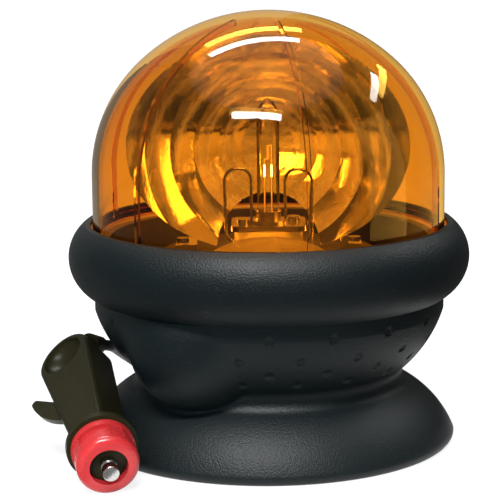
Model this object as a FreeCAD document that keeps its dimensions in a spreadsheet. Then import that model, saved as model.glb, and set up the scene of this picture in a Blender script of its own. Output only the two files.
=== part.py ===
import FreeCAD, Part
import math
import os
import re
import Sketcher

Vector = FreeCAD.Vector
UP = Vector(0, 0, 1)

# Driving dimensions: millimetres, and degrees for bearings, tilts and spreads
SIZES = [
    # Rubber boot
    ("foot_radius", 67.8, "widest radius of the flared foot"),
    ("foot_floor_radius", 65.6, "outer radius of the ring that stands on the floor"),
    ("foot_lip_height", 3.0, "height of the foot's widest point"),
    ("foot_lip_round", 3.2, "rounding of the foot's edge"),
    ("foot_flare_round", 36.1, "radius of the flare in section"),
    ("waist_radius", 48.9, "radius of the waist"),
    ("waist_height", 25.1, "height of the waist"),
    ("waist_hollow", 2.2, "depth of the waist's groove"),
    ("waist_half_height", 4.0, "half the height of the waist's groove"),
    ("bowl_radius", 63.8, "radius of the bowl under the collar"),
    ("bowl_height", 49.3, "height where the bowl turns upright"),
    ("bowl_round", 46.1, "radius of the bowl in section"),
    ("boot_wall", 4.1, "rubber thickness at the waist"),
    ("web_thickness", 3.0, "rubber floor between the magnet and the motor space"),
    ("suction_radius", 57.0, "inner radius of the ring that stands on the floor"),
    ("suction_depth", 1.6, "depth of the hollow under the foot"),
    ("bulge_radius", 25.0, "radius of the round bulge on the bowl"),
    ("bulge_reach", 42.5, "distance of the bulge's centre from the axis"),
    ("bulge_height", 43.5, "height of the bulge's centre"),
    ("bulge_bearing", 35.5, "angle of the bulge from the front, towards the left"),
    # Rim collar
    ("collar_radius", 73.0, "widest radius of the collar"),
    ("collar_bottom", 55.0, "height of the collar's lower edge"),
    ("collar_middle", 68.5, "height of the collar's widest point"),
    ("collar_edge", 1.3, "width of the collar's flat lower edge"),
    ("collar_belly_round", 15.8, "radius of the collar below its widest point"),
    ("collar_brow_round", 15.2, "radius of the collar above its widest point"),
    ("collar_lip", 1.4, "thickness of the lip over the dome's flange"),
    ("collar_crest", 2.1, "flat width on top of the lip"),
    ("rubber_clearance", 0.3, "gap between the rubber pieces and what they grip"),
    # Chassis pan, seal and dome
    ("pan_floor_height", 56.0, "underside of the chassis pan's floor"),
    ("pan_floor_thickness", 2.5, "floor of the chassis pan"),
    ("pan_wall", 2.2, "wall of the chassis pan"),
    ("pan_radius", 60.2, "outer radius of the pan's wall"),
    ("pan_ledge", 4.0, "width of the boot's ledge under the pan"),
    ("flange_height", 73.2, "underside of the pan's flange, on top of the boot"),
    ("flange_thickness", 2.3, "pan flange"),
    ("flange_reach", 2.5, "how far the flanges stand outside the dome's wall"),
    ("seal_thickness", 1.2, "dome seal"),
    ("dome_radius", 63.9, "outer radius of the dome's wall"),
    ("dome_wall", 2.5, "dome thickness"),
    ("dome_flange", 2.2, "thickness of the dome's foot flange"),
    ("dome_equator", 97.9, "height where the dome starts to close in"),
    ("dome_rise", 58.8, "height of the dome above that"),
    ("dome_shoulder", 55.7, "radius of the dome's shoulder in section"),
    ("dome_lip_gap", 1.0, "gap between the dome's wall and the collar's lip"),
    ("dome_rib_depth", 1.4, "depth of the dome's inner ribs"),
    ("dome_rib_width", 1.6, "width of the dome's inner ribs"),
    ("dome_rib_count", 6, "number of inner ribs"),
    ("dome_rib_bearing", -77.0, "angle of the first rib from the right-hand side"),
    ("dome_rib_top", 15.0, "radius at which the ribs end near the top"),
    # Lamp post and lamp
    ("post_radius", 12.6, "lamp post"),
    ("post_foot_radius", 13.6, "thicker foot of the post, in the pan"),
    ("post_flange_radius", 19.0, "flange of the post under the pan"),
    ("post_flange_thickness", 2.8, "thickness of that flange"),
    ("post_bore", 6.6, "bore of the post"),
    ("post_top", 78.0, "height of the post"),
    ("plate_thickness", 2.0, "lamp holder plate"),
    ("plate_width", 27.0, "holder plate, across"),
    ("plate_depth", 22.0, "holder plate, front to back"),
    ("plate_corner", 3.0, "corner radius of the holder plate"),
    ("lamp_flange_radius", 7.3, "flange of the lamp's base"),
    ("lamp_flange_thickness", 1.0, "thickness of that flange"),
    ("lamp_shell_radius", 4.9, "metal shell of the lamp's base"),
    ("lamp_shell_length", 9.0, "length of the shell below the flange"),
    ("lamp_cap_length", 3.2, "length of the cap above the flange"),
    ("lamp_cap_wall", 0.6, "wall of that cap"),
    ("lamp_pin_radius", 2.0, "contact pin of the lamp"),
    ("lamp_pin_length", 4.0, "length of the contact pin"),
    ("glass_radius", 4.15, "lamp glass"),
    ("glass_wall", 0.6, "thickness of the lamp glass"),
    ("glass_length", 44.0, "lamp glass from the flange to its tip"),
    ("glass_taper", 7.0, "length of the glass's pointed end"),
    ("light_centre", 24.5, "height of the filament above the lamp's flange"),
    ("filament_radius", 0.7, "filament winding"),
    ("filament_length", 5.0, "length of the filament winding"),
    ("support_radius", 0.3, "filament supports"),
    ("spring_wire", 0.6, "radius of the lamp spring's wire"),
    ("spring_outer", 15.6, "distance of a spring's outer leg from the lamp's axis"),
    ("spring_inner", 6.2, "distance of a spring's inner leg from the lamp's axis"),
    ("spring_top", 99.0, "height of the spring's loop"),
    ("spring_root", 72.6, "height where the spring enters the post"),
    ("spring_bearing", -8.0, "turn of the springs about the post"),
    ("connector_wall", 0.9, "wall of the lamp connector"),
    ("connector_length", 9.0, "length of the lamp connector"),
    # Turntable, bearing and gears
    ("sleeve_wall", 1.4, "wall of the bearing sleeve"),
    ("sleeve_flange", 0.6, "how far the sleeve's flange stands out"),
    ("sleeve_flange_thickness", 0.7, "thickness of the sleeve's flange"),
    ("shoulder_height", 60.8, "height of the post's shoulder under the sleeve"),
    ("running_gap", 0.05, "radial running clearance"),
    ("axial_gap", 0.1, "axial running clearance"),
    ("hub_radius", 18.0, "turntable hub under the plate"),
    ("table_radius", 39.0, "turntable plate"),
    ("table_thickness", 2.8, "thickness of the turntable plate"),
    ("table_top", 69.5, "height of the turntable's upper face"),
    ("ring_thickness", 1.0, "retaining ring"),
    ("ring_reach", 3.0, "width of the retaining ring outside the post"),
    ("ring_groove", 0.7, "depth of the groove for the retaining ring"),
    ("gear_module", 0.8, "gear module"),
    ("gear_pressure", 25.0, "pressure angle of the teeth"),
    ("gear_backlash", 0.1, "backlash of each pair"),
    ("ring_gear_teeth", 68, "teeth of the ring gear"),
    ("idler_teeth", 40, "teeth of the idler's wheel"),
    ("pinion_teeth", 12, "teeth of both pinions"),
    ("ring_gear_face", 4.0, "face width of the ring gear"),
    ("idler_face", 2.2, "face width of the idler's wheel"),
    ("idler_bearing", 180.0, "angle of the idler about the post"),
    ("motor_swing", 35.0, "angle between idler and motor, seen from the post"),
    ("idler_pin_radius", 1.5, "idler pin"),
    ("idler_collar", 3.0, "radius of the idler pin's collar"),
    ("idler_collar_height", 0.35, "height of that collar"),
    # Motor
    ("motor_radius", 12.0, "motor can"),
    ("motor_length", 21.0, "length of the motor can"),
    ("motor_cap_thickness", 2.0, "motor end cap"),
    ("motor_boss_radius", 3.0, "boss on the motor's face"),
    ("motor_boss_height", 1.2, "height of that boss"),
    ("shaft_radius", 1.0, "motor shaft"),
    ("motor_screw_reach", 8.0, "distance of the motor screws from the shaft"),
    # Screws
    ("screw_radius", 1.2, "shank of the small screws"),
    ("screw_head_radius", 2.3, "head of the small screws"),
    ("screw_head_height", 1.6, "height of the screw heads"),
    ("screw_clearance", 0.1, "gap round a screw's shank"),
    ("plate_screw_reach", 9.8, "distance of the plate screws from the lamp's axis"),
    ("plate_screw_length", 8.0, "length of the plate screws"),
    ("post_screw_reach", 16.3, "distance of the post screws from the axis"),
    # Mirror
    ("mirror_focus", 20.0, "focal length of the dish"),
    ("mirror_thickness", 2.4, "thickness of the dish at its centre"),
    ("mirror_half_width", 50.5, "half the width of the dish, seen from the front"),
    ("mirror_half_height", 40.0, "half the height of the dish's oval"),
    ("mirror_oval_height", 108.0, "height of the oval's centre"),
    ("mirror_disc", 10.0, "radius of the smooth disc at the dish's centre"),
    ("mirror_flutes", 5, "number of ring flutes"),
    ("mirror_flute_depth", 0.6, "depth of a flute"),
    ("mirror_arch", 19.0, "radius of the arch cut out of the dish's foot"),
    ("mirror_foot_reach", 30.0, "distance of the mirror's feet from the middle"),
    ("mirror_foot_width", 8.0, "width of a foot"),
    ("mirror_foot_depth", 14.0, "depth of a foot"),
    ("mirror_foot_height", 2.6, "thickness of a foot"),
    ("mirror_gusset", 3.0, "thickness of the web above a foot"),
    ("weight_outer", 36.0, "outer radius of the balance weight"),
    ("weight_spread", 104.0, "angle that the balance weight covers"),
    ("weight_height", 8.3, "height of the balance weight"),
    ("weight_crown", 40.0, "radius of the balance weight's domed top"),
    ("weight_middle", 20.5, "distance of the dome's top from the axis"),
    ("spin_room", 2.0, "room between the post and what turns round it"),
    # Magnet
    ("magnet_recess", 0.5, "height of the magnet's face above the floor"),
    ("pot_radius", 44.0, "steel pot"),
    ("pot_height", 16.0, "height of the pot"),
    ("pot_wall", 2.5, "wall of the pot"),
    ("pole_radius", 13.7, "pole piece in the middle"),
    ("magnet_gap", 0.3, "gap round the ferrite ring"),
    ("bolt_radius", 2.5, "bolt that holds the magnet"),
    ("bolt_length", 17.0, "length of that bolt under its head"),
    ("bolt_head_radius", 4.6, "head of the bolt"),
    ("bolt_head_height", 3.5, "height of the head"),
    ("washer_radius", 9.0, "washer under the head"),
    ("washer_thickness", 1.0, "thickness of the washer"),
    # Cord, gland and coil
    ("cord_radius", 2.1, "cord"),
    ("gland_bearing", 28.0, "angle of the gland from the back, towards the right"),
    ("gland_dip", 36.0, "angle at which the gland points down"),
    ("gland_height", 33.2, "height at which the gland's axis leaves the bowl"),
    ("gland_reach", 55.2, "distance of that point from the axis"),
    ("gland_neck", 4.2, "radius of the gland where it passes the bowl"),
    ("gland_flange", 6.2, "radius of the gland's flanges"),
    ("gland_flange_thickness", 2.0, "thickness of the gland's flanges"),
    ("gland_taper", 18.0, "length of the gland's taper"),
    ("coil_x", 0.0, "place of the coil, across"),
    ("coil_y", 115.0, "place of the coil, behind the axis"),
    ("coil_middle", 23.1, "radius of the coil at the middle of its turns"),
    ("coil_layers", 4, "turns beside and on each other in the coil"),
    ("tie_thickness", 0.9, "strap round the coil"),
    ("tie_width", 4.0, "width of the strap"),
    ("lead_radius", 0.9, "inner leads"),
    ("lead_bend_depth", 14.0, "bends of both inner leads, behind the axis"),
    ("lamp_bend_across", 9.0, "bend of the lamp's lead, right of the axis"),
    ("lamp_bend_height", 44.0, "height of that bend"),
    ("lamp_lead_turn", 46.0, "height where the lamp's lead turns up into the post"),
    ("motor_bend_height", 33.0, "height of the bend of the motor's lead"),
    ("motor_lead_across", 14.0, "loop of the motor's lead, right of the motor"),
    ("motor_lead_depth", 12.0, "loop of the motor's lead, behind the motor"),
    ("motor_lead_drop", 5.0, "loop of the motor's lead, below the motor"),
    # Lighter plug, measured along its own axis from the front of its collar
    ("plug_x", -57.0, "place of the plug's collar, across"),
    ("plug_y", -62.6, "place of the plug's collar, front to back"),
    ("plug_tilt", 13.5, "angle of the plug, tail up"),
    ("plug_yaw", 13.9, "angle of the plug, tail to the left"),
    ("plug_roll", 41.0, "turn of the plug about its own axis, flat face to the left"),
    ("handle_length", 70.0, "plug handle"),
    ("handle_half_width", 7.0, "half the handle's width at its collar"),
    ("handle_tail_round", 11.2, "rounding of the handle's tail, round the finger dish"),
    ("handle_thickness", 16.6, "thickness of the handle"),
    ("handle_edge", 2.2, "rounding of the handle's long edges"),
    ("plug_collar_radius", 12.4, "collar of the handle"),
    ("plug_collar_thickness", 2.6, "thickness of that collar"),
    ("dish_radius", 8.3, "finger dish at the tail, half its width"),
    ("dish_length", 8.6, "finger dish, half its length"),
    ("dish_depth", 5.5, "depth of the finger dish"),
    ("wing_reach", 11.4, "how far the wing stands out of the handle's narrow end"),
    ("wing_front", 18.4, "start of the wing behind the collar"),
    ("wing_length", 25.0, "length of the wing along the handle"),
    ("wing_thickness", 2.4, "thickness of the wing"),
    ("wing_lift", 5.2, "height of the wing above the handle's middle plane"),
    ("nose_radius", 6.4, "nose sleeve"),
    ("nose_length", 11.0, "nose sleeve in front of the collar"),
    ("spigot_radius", 5.6, "spigot of the nose sleeve in the handle"),
    ("spigot_length", 9.0, "length of the spigot"),
    ("chamber_radius", 4.3, "spring chamber in the nose sleeve"),
    ("nose_wall", 2.4, "front wall of the nose sleeve"),
    ("adapter_gap", 0.2, "gap between the nose sleeve and the adapter ring"),
    ("adapter_length", 13.5, "adapter ring"),
    ("adapter_flange_radius", 11.0, "rear flange of the adapter ring"),
    ("adapter_flange_length", 3.0, "length of that flange"),
    ("adapter_waist_radius", 9.7, "adapter ring between its flange and its bead"),
    ("adapter_bead_radius", 10.8, "front bead of the adapter ring, which fits the socket"),
    ("adapter_bead_length", 6.2, "length of the bead"),
    ("adapter_bead_round", 2.6, "rounding of the bead's front"),
    ("adapter_rib_width", 5.2, "blocks between flange and bead"),
    ("adapter_rib_count", 4, "number of those blocks"),
    ("adapter_rib_bearing", 30.0, "turn of the blocks about the plug's axis"),
    ("adapter_seat_gap", 0.3, "gap between the collar and the adapter ring"),
    ("tip_radius", 2.8, "contact tip"),
    ("tip_reach", 7.4, "how far the tip stands out of the nose sleeve"),
    ("tip_neck", 0.5, "depth of the groove in the tip"),
    ("tip_flange", 2.0, "thickness of the tip's flange"),
    ("spring_wire_tip", 0.4, "radius of the tip spring's wire"),
    ("spring_coils", 6, "turns of the tip spring"),
    ("fuse_radius", 3.1, "fuse"),
    ("fuse_length", 25.0, "length of the fuse"),
    ("fuse_gap", 0.3, "gap round the fuse"),
    ("relief_across", 8.0, "root of the strain relief, right of the plug's axis"),
    ("relief_lift", 4.5, "root of the strain relief, above the handle's middle plane"),
    ("relief_inset", 8.0, "root of the strain relief, in front of the tail's end"),
    ("relief_length", 13.0, "strain relief from its root inside the tail"),
    ("relief_radius", 4.0, "strain relief at its root"),
    ("relief_heading", 22.0, "direction of the strain relief, to the right of straight back"),
    ("relief_fall", 14.0, "angle at which the strain relief points down"),
]

# Places that follow from the driving dimensions
DERIVED = {
    "web_bottom": "magnet_recess + pot_height + rubber_clearance",
    "web_top": "web_bottom + web_thickness",
    "pan_floor_top": "pan_floor_height + pan_floor_thickness",
    "seal_bottom": "flange_height + flange_thickness",
    "dome_base": "seal_bottom + seal_thickness",
    "dome_flange_top": "dome_base + dome_flange",
    "dome_flange_radius": "dome_radius + flange_reach",
    "dome_inside": "dome_radius - dome_wall",
    "dome_apex": "dome_equator + dome_rise",
    "shoulder_inset": "dome_radius - dome_shoulder",
    "crown_radius": "(shoulder_inset^2 + dome_rise^2 - dome_shoulder^2) / (2 * (dome_rise - dome_shoulder))",
    "crown_centre": "dome_apex - crown_radius",
    "blend_x": "shoulder_inset / (crown_radius - dome_shoulder)",
    "blend_z": "(dome_equator - crown_centre) / (crown_radius - dome_shoulder)",
    "plate_top": "post_top + plate_thickness",
    "lamp_flange_top": "plate_top + lamp_flange_thickness",
    "filament_height": "lamp_flange_top + light_centre",
    "sleeve_radius": "post_radius + sleeve_wall",
    "hub_bottom": "shoulder_height + sleeve_flange_thickness + axial_gap",
    "table_bottom": "table_top - table_thickness",
    "sleeve_top": "table_top + axial_gap / 2",
    "ring_gear_bottom": "table_bottom - ring_gear_face - axial_gap",
    "ring_bottom": "table_top + axial_gap",
    "idler_reach": "gear_module * (ring_gear_teeth + pinion_teeth) / 2",
    "motor_from_idler": "gear_module * (idler_teeth + pinion_teeth) / 2",
    "idler_bottom": "pan_floor_top + idler_collar_height + axial_gap / 2",
    "idler_top": "table_bottom - 3 * axial_gap",
    "motor_top": "pan_floor_height",
    "coil_half": "coil_layers * cord_radius",
    "bead_back": "adapter_length - adapter_bead_length",
    "nose_end": "nose_length",
    "handle_bore": "fuse_radius + fuse_gap",
}
SIZE_NAMES = {alias for alias, value, meaning in SIZES}

doc = FreeCAD.newDocument("warning_light")
sheet = doc.addObject("Spreadsheet::Sheet", "dims")
for row, (alias, value, meaning) in enumerate(SIZES, start=1):
    sheet.set(f"A{row}", meaning)
    sheet.set(f"B{row}", str(value))
    sheet.setAlias(f"B{row}", alias)
doc.recompute()

pieces = []


def bound(text):
    """Write an expression over the named sizes in terms of the sheet's cells."""
    def swap(match):
        name = match.group()
        if name in SIZE_NAMES:
            return "dims." + name
        if name in DERIVED:
            return "(" + bound(DERIVED[name]) + ")"
        return name
    return re.sub(r"[A-Za-z_][A-Za-z0-9_]*", swap, text)


def amount(text):
    """The present value of such an expression."""
    return float(sheet.evalExpression(bound(text)))


def keep(item):
    """List a finished sub-part."""
    pieces.append(item)
    return item


def new_body(label):
    body = doc.addObject("PartDesign::Body", label)
    body.Label = label
    return body


def new_sketch(body, name, role, height=None):
    """A sketch on one of the body's own origin planes, lifted off it by an expression."""
    sketch = body.newObject("Sketcher::SketchObject", name)
    plane = next(item for item in body.Origin.OriginFeatures if item.Role == role)
    sketch.AttachmentSupport = [(plane, "")]
    sketch.MapMode = "FlatFace"
    if height is not None:
        sketch.AttachmentOffset = FreeCAD.Placement(Vector(0, 0, amount(height)), FreeCAD.Rotation())
        sketch.setExpression("AttachmentOffset.Base.z", bound(height))
    return sketch


def pin_point(sketch, geometry, end, x, y):
    """Tie a point of the sketch to two expressions measured from the sketch's origin."""
    for kind, axis, text in (("DistanceX", -2, x), ("DistanceY", -1, y)):
        if text == "0":
            sketch.addConstraint(Sketcher.Constraint("PointOnObject", geometry, end, axis))
            continue
        index = sketch.addConstraint(Sketcher.Constraint(kind, -1, 1, geometry, end, amount(text)))
        sketch.setExpression(f"Constraints[{index}]", bound(text))


def arc_middle(start, end, radius, bulge):
    """The middle of an arc that bulges to the right (+1) or left (-1) of the way it runs."""
    chord = end - start
    half = chord.Length / 2
    rise = radius - math.sqrt(max(radius * radius - half * half, 0))
    side = Vector(chord.y, -chord.x, 0).normalize() * (bulge * rise)
    return (start + end) * 0.5 + side


def draw(sketch, corners):
    """A closed outline. A corner is (x, y), reached by a line, or (x, y, radius, bulge), by an arc."""
    points = [Vector(amount(corner[0]), amount(corner[1]), 0) for corner in corners]
    first = sketch.GeometryCount
    count = len(corners)
    for index, corner in enumerate(corners):
        start = points[index - 1]
        end = points[index]
        if len(corner) == 2:
            sketch.addGeometry(Part.LineSegment(start, end), False)
            continue
        middle = arc_middle(start, end, amount(corner[2]), corner[3])
        if corner[3] < 0:
            start, end = end, start
        sketch.addGeometry(Part.Arc(start, middle, end), False)
    ends = []
    for index in range(count):
        curve = sketch.Geometry[first + index]
        backwards = curve.StartPoint.distanceToPoint(points[index]) < 1e-6
        ends.append((2, 1) if backwards else (1, 2))
    for index in range(count):
        follow = (index + 1) % count
        link = (first + index, ends[index][1], first + follow, ends[follow][0])
        sketch.addConstraint(Sketcher.Constraint("Coincident", *link))
    for index, corner in enumerate(corners):
        pin_point(sketch, first + index, ends[index][1], corner[0], corner[1])
        if len(corner) == 4:
            radius = sketch.addConstraint(Sketcher.Constraint("Radius", first + index, amount(corner[2])))
            sketch.setExpression(f"Constraints[{radius}]", bound(corner[2]))


def draw_circle(sketch, x, y, radius):
    index = sketch.addGeometry(Part.Circle(Vector(amount(x), amount(y), 0), UP, amount(radius)), False)
    pin_point(sketch, index, 3, x, y)
    size = sketch.addConstraint(Sketcher.Constraint("Radius", index, amount(radius)))
    sketch.setExpression(f"Constraints[{size}]", bound(radius))


def turn(body, name, corners, kind="Revolution"):
    """Add or cut a shape turned about the body's upright axis."""
    sketch = new_sketch(body, name + "_profile", "XZ_Plane")
    draw(sketch, corners)
    feature = body.newObject("PartDesign::" + kind, name)
    feature.Profile = sketch
    feature.ReferenceAxis = (sketch, ["V_Axis"])
    feature.Angle = 360
    return feature


def turned(label, corners):
    """A sub-part turned in one go."""
    body = new_body(label)
    turn(body, label + "_turned", corners)
    return keep(body)


def block(x0, y0, x1, y1):
    """The outline of a rectangle between two corners."""
    return [(x0, y0), (x1, y0), (x1, y1), (x0, y1)]


def pad(body, sketch, name, length, both_ways=False):
    feature = body.newObject("PartDesign::Pad", name)
    feature.Profile = sketch
    feature.Length = amount(length)
    feature.setExpression("Length", bound(length))
    feature.Midplane = both_ways
    return feature


def drill(body, name, holes, radius, height, depth):
    """Holes bored down from a height, checked by what they take away."""
    doc.recompute()
    before = body.Shape.Volume
    sketch = new_sketch(body, name + "_places", "XY_Plane", height)
    for x, y in holes:
        draw_circle(sketch, x, y, radius)
    feature = body.newObject("PartDesign::Pocket", name)
    feature.Profile = sketch
    feature.Length = amount(depth)
    feature.setExpression("Length", bound(depth))
    doc.recompute()
    if body.Shape.Volume >= before:
        raise RuntimeError(name + " cuts nothing")
    return feature


def ring_around(body, feature, name, count):
    """Repeat a feature round the body's upright axis."""
    pattern = body.newObject("PartDesign::PolarPattern", name)
    pattern.Originals = [feature]
    pattern.Axis = (next(item for item in body.Origin.OriginFeatures if item.Role == "Z_Axis"), [""])
    pattern.Angle = 360
    pattern.Occurrences = int(amount(count))
    pattern.setExpression("Occurrences", bound(count))
    body.Tip = pattern
    return pattern


def place(item, x="0", y="0", z="0"):
    """Bind a sub-part's place to the sheet."""
    for axis, text in (("x", x), ("y", y), ("z", z)):
        item.setExpression("Placement.Base." + axis, bound(text))


def rod(label, radius, bottom, length, x="0", y="0"):
    """A plain upright cylinder."""
    item = doc.addObject("Part::Cylinder", label)
    item.Label = label
    item.setExpression("Radius", bound(radius))
    item.setExpression("Height", bound(length))
    place(item, x, y, bottom)
    return item


def screws(label, places, seat, length, upward=False):
    """A set of like screws whose heads bear on one seat, from above or from below."""
    made = []
    for number, (x, y) in enumerate(places, start=1):
        head_bottom = seat if not upward else f"{seat} - screw_head_height"
        shank_bottom = f"{seat} - ({length})" if not upward else seat
        head = rod(f"{label}_head_{number}", "screw_head_radius", head_bottom, "screw_head_height", x, y)
        shank = rod(f"{label}_shank_{number}", "screw_radius", shank_bottom, length, x, y)
        screw = doc.addObject("Part::MultiFuse", f"{label}_{number}")
        screw.Shapes = [head, shank]
        made.append(screw)
    group = doc.addObject("Part::Compound", label)
    group.Label = label
    group.Links = made
    return keep(group)


def solid(label, shape, placement=None):
    """A sub-part whose shape is worked out below from the sheet's sizes."""
    item = doc.addObject("Part::Feature", label)
    item.Label = label
    item.Shape = shape
    if placement is not None:
        item.Placement = placement
    return keep(item)


def rounded_route(points, share=0.45):
    """Straight runs joined by tangent arcs, each as large as its shorter run allows."""
    edges = []
    radii = []
    reached = points[0]
    for before, corner, after in zip(points, points[1:], points[2:]):
        back = (before - corner)
        ahead = (after - corner)
        reach = share * min(back.Length, ahead.Length)
        back = back.normalize()
        ahead = ahead.normalize()
        turn_angle = math.pi - back.getAngle(ahead)
        radius = reach / math.tan(turn_angle / 2)
        centre = corner + (back + ahead).normalize() * (radius / math.cos(turn_angle / 2))
        start = corner + back * reach
        end = corner + ahead * reach
        middle = centre + (corner - centre).normalize() * radius
        edges.append(Part.LineSegment(reached, start).toShape())
        edges.append(Part.Arc(start, middle, end).toShape())
        radii.append(radius)
        reached = end
    edges.append(Part.LineSegment(reached, points[-1]).toShape())
    return Part.Wire(edges), radii


def tube_along(points, radius, share=0.45):
    """A round bar along a route, with the arcs' radii and its volume set against section times length."""
    route, radii = rounded_route(points, share)
    section = Part.Wire(Part.Circle(points[0], points[1] - points[0], radius).toShape())
    bar = route.makePipeShell([section], True, False)
    expected = math.pi * radius * radius * route.Length
    return bar, route.Length, radii, bar.Volume / expected


def rubber_boot():
    """Bowl, waist and flared foot in one moulding, with the round bulge and the hollows inside."""
    body = new_body("rubber_boot")
    shoulder = "waist_radius + waist_hollow"
    waist_round = "(waist_half_height^2 + waist_hollow^2) / (2 * waist_hollow)"
    turn(body, "boot_skin", [
        ("0", "0"),
        ("foot_floor_radius", "0"),
        ("foot_radius", "foot_lip_height", "foot_lip_round", 1),
        (shoulder, "waist_height - waist_half_height", "foot_flare_round", 1),
        (shoulder, "waist_height + waist_half_height", waist_round, -1),
        ("bowl_radius", "bowl_height", "bowl_round", 1),
        ("bowl_radius", "flange_height"),
        ("0", "flange_height"),
    ])
    bulge = body.newObject("PartDesign::AdditiveSphere", "bulge")
    bulge.setExpression("Radius", bound("bulge_radius"))
    place(bulge, "-bulge_reach * sin(bulge_bearing)", "-bulge_reach * cos(bulge_bearing)", "bulge_height")
    seat_edge = "collar_radius + bulge_radius"
    bulge_clear = "flange_height + bulge_radius"
    turn(body, "collar_seat",
         block("bowl_radius", "collar_bottom - rubber_clearance", seat_edge, bulge_clear), "Groove")
    ledge = "pan_radius - pan_ledge"
    ledge_height = "pan_floor_height - rubber_clearance"
    pocket = "pan_radius + rubber_clearance"
    inner_waist = "waist_radius - boot_wall"
    pot_pocket = "pot_radius + rubber_clearance"
    bolt_hole = "bolt_radius + screw_clearance"
    turn(body, "hollows", [
        ("0", "0"),
        ("suction_radius", "0"),
        ("suction_radius", "suction_depth"),
        (pot_pocket, "suction_depth"),
        (pot_pocket, "web_bottom"),
        (bolt_hole, "web_bottom"),
        (bolt_hole, "web_top"),
        (inner_waist, "web_top"),
        (inner_waist, "waist_height"),
        (ledge, "bowl_height"),
        (ledge, ledge_height),
        (pocket, ledge_height),
        (pocket, bulge_clear),
        ("0", bulge_clear),
    ], "Groove")
    hole = body.newObject("PartDesign::SubtractiveCylinder", "gland_hole")
    hole.setExpression("Radius", bound("gland_neck + screw_clearance"))
    hole.setExpression("Height", bound("4 * gland_flange"))
    hole.Placement = gland_frame(-2 * amount("gland_flange"))
    return keep(body)


def gland_frame(along=0.0):
    """Upright becomes the gland's own axis, out of the bowl at the back and down."""
    bearing = math.radians(90 - amount("gland_bearing"))
    dip = math.radians(amount("gland_dip"))
    axis = Vector(math.cos(bearing) * math.cos(dip), math.sin(bearing) * math.cos(dip), -math.sin(dip))
    base = Vector(math.cos(bearing) * amount("gland_reach"), math.sin(bearing) * amount("gland_reach"),
                  amount("gland_height"))
    return FreeCAD.Placement(base + axis * along, FreeCAD.Rotation(UP, axis))


def rim_collar():
    """Fat rubber ring with a groove for the flanges of the pan and the dome."""
    inner = "bowl_radius + rubber_clearance"
    groove = "dome_flange_radius + rubber_clearance"
    groove_bottom = "flange_height - rubber_clearance"
    groove_top = "dome_flange_top + rubber_clearance"
    top = f"{groove_top} + collar_lip"
    lip = "dome_radius + dome_lip_gap"
    crest = f"{lip} + collar_crest"
    return turned("rim_collar", [
        (inner, "collar_bottom"),
        (f"{inner} + collar_edge", "collar_bottom"),
        ("collar_radius", "collar_middle", "collar_belly_round", 1),
        (crest, top, "collar_brow_round", 1),
        (lip, top),
        (lip, groove_top),
        (groove, groove_top),
        (groove, groove_bottom),
        (inner, groove_bottom),
    ])


def dome_arc_end(depth):
    """Where the dome's shoulder meets its crown, at a depth below the outer skin."""
    return (f"shoulder_inset + (dome_shoulder - {depth}) * blend_x",
            f"dome_equator + (dome_shoulder - {depth}) * blend_z")


def dome_lens():
    """Clear dome with a foot flange and six upright ribs inside."""
    body = new_body("dome_lens")
    turn(body, "dome_wall_turned", [
        ("dome_inside", "dome_base"),
        ("dome_flange_radius", "dome_base"),
        ("dome_flange_radius", "dome_flange_top"),
        ("dome_radius", "dome_flange_top"),
        ("dome_radius", "dome_equator"),
        (*dome_arc_end("0"), "dome_shoulder", 1),
        ("0", "dome_apex", "crown_radius", 1),
        ("0", "dome_apex - dome_wall"),
        (*dome_arc_end("dome_wall"), "crown_radius - dome_wall", -1),
        ("dome_inside", "dome_equator", "dome_shoulder - dome_wall", -1),
    ])
    root = "dome_wall / 2"
    edge = "(dome_wall + dome_rib_depth)"
    rib_foot = "dome_flange_top"
    sketch = new_sketch(body, "rib_profile", "XZ_Plane")
    draw(sketch, [
        (f"dome_radius - {edge}", rib_foot),
        (f"dome_radius - {root}", rib_foot),
        (f"dome_radius - {root}", "dome_equator"),
        (*dome_arc_end(root), f"dome_shoulder - {root}", 1),
        ("dome_rib_top", f"crown_centre + sqrt((crown_radius - {root})^2 - dome_rib_top^2)",
         f"crown_radius - {root}", 1),
        ("dome_rib_top", f"crown_centre + sqrt((crown_radius - {edge})^2 - dome_rib_top^2)"),
        (*dome_arc_end(edge), f"crown_radius - {edge}", -1),
        (f"dome_radius - {edge}", "dome_equator", f"dome_shoulder - {edge}", -1),
    ])
    rib = pad(body, sketch, "rib", "dome_rib_width", both_ways=True)
    ring_around(body, rib, "ribs", "dome_rib_count")
    body.Placement = FreeCAD.Placement(Vector(), FreeCAD.Rotation(UP, amount("dome_rib_bearing")))
    return keep(body)


def dome_seal():
    """Flat seal between the pan's flange and the dome."""
    inner = "dome_inside + rubber_clearance"
    return turned("dome_seal", block(inner, "seal_bottom", "dome_flange_radius", "dome_base"))


def idler_place():
    return ("idler_reach * cos(idler_bearing)", "idler_reach * sin(idler_bearing)")


def motor_reach():
    """Distance of the motor from the post, so that its pinion meets the idler's wheel."""
    return ("(idler_reach * cos(motor_swing) + sqrt(motor_from_idler^2"
            " - (idler_reach * sin(motor_swing))^2))")


def motor_place():
    bearing = "(idler_bearing + motor_swing)"
    return (f"{motor_reach()} * cos{bearing}", f"{motor_reach()} * sin{bearing}")


def motor_screw_places():
    """Two screws on a line across the direction from motor to idler."""
    motor = Vector(amount(motor_place()[0]), amount(motor_place()[1]), 0)
    idler = Vector(amount(idler_place()[0]), amount(idler_place()[1]), 0)
    bearing = math.degrees(math.atan2(idler.y - motor.y, idler.x - motor.x)) + 90
    step = (f"motor_screw_reach * cos({bearing:.4f})", f"motor_screw_reach * sin({bearing:.4f})")
    return [(f"{motor_place()[0]} {sign} {step[0]}", f"{motor_place()[1]} {sign} {step[1]}")
            for sign in ("+", "-")]


def post_screw_places():
    return [(f"post_screw_reach * cos({bearing})", f"post_screw_reach * sin({bearing})")
            for bearing in (30, 270, 150)]


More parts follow.
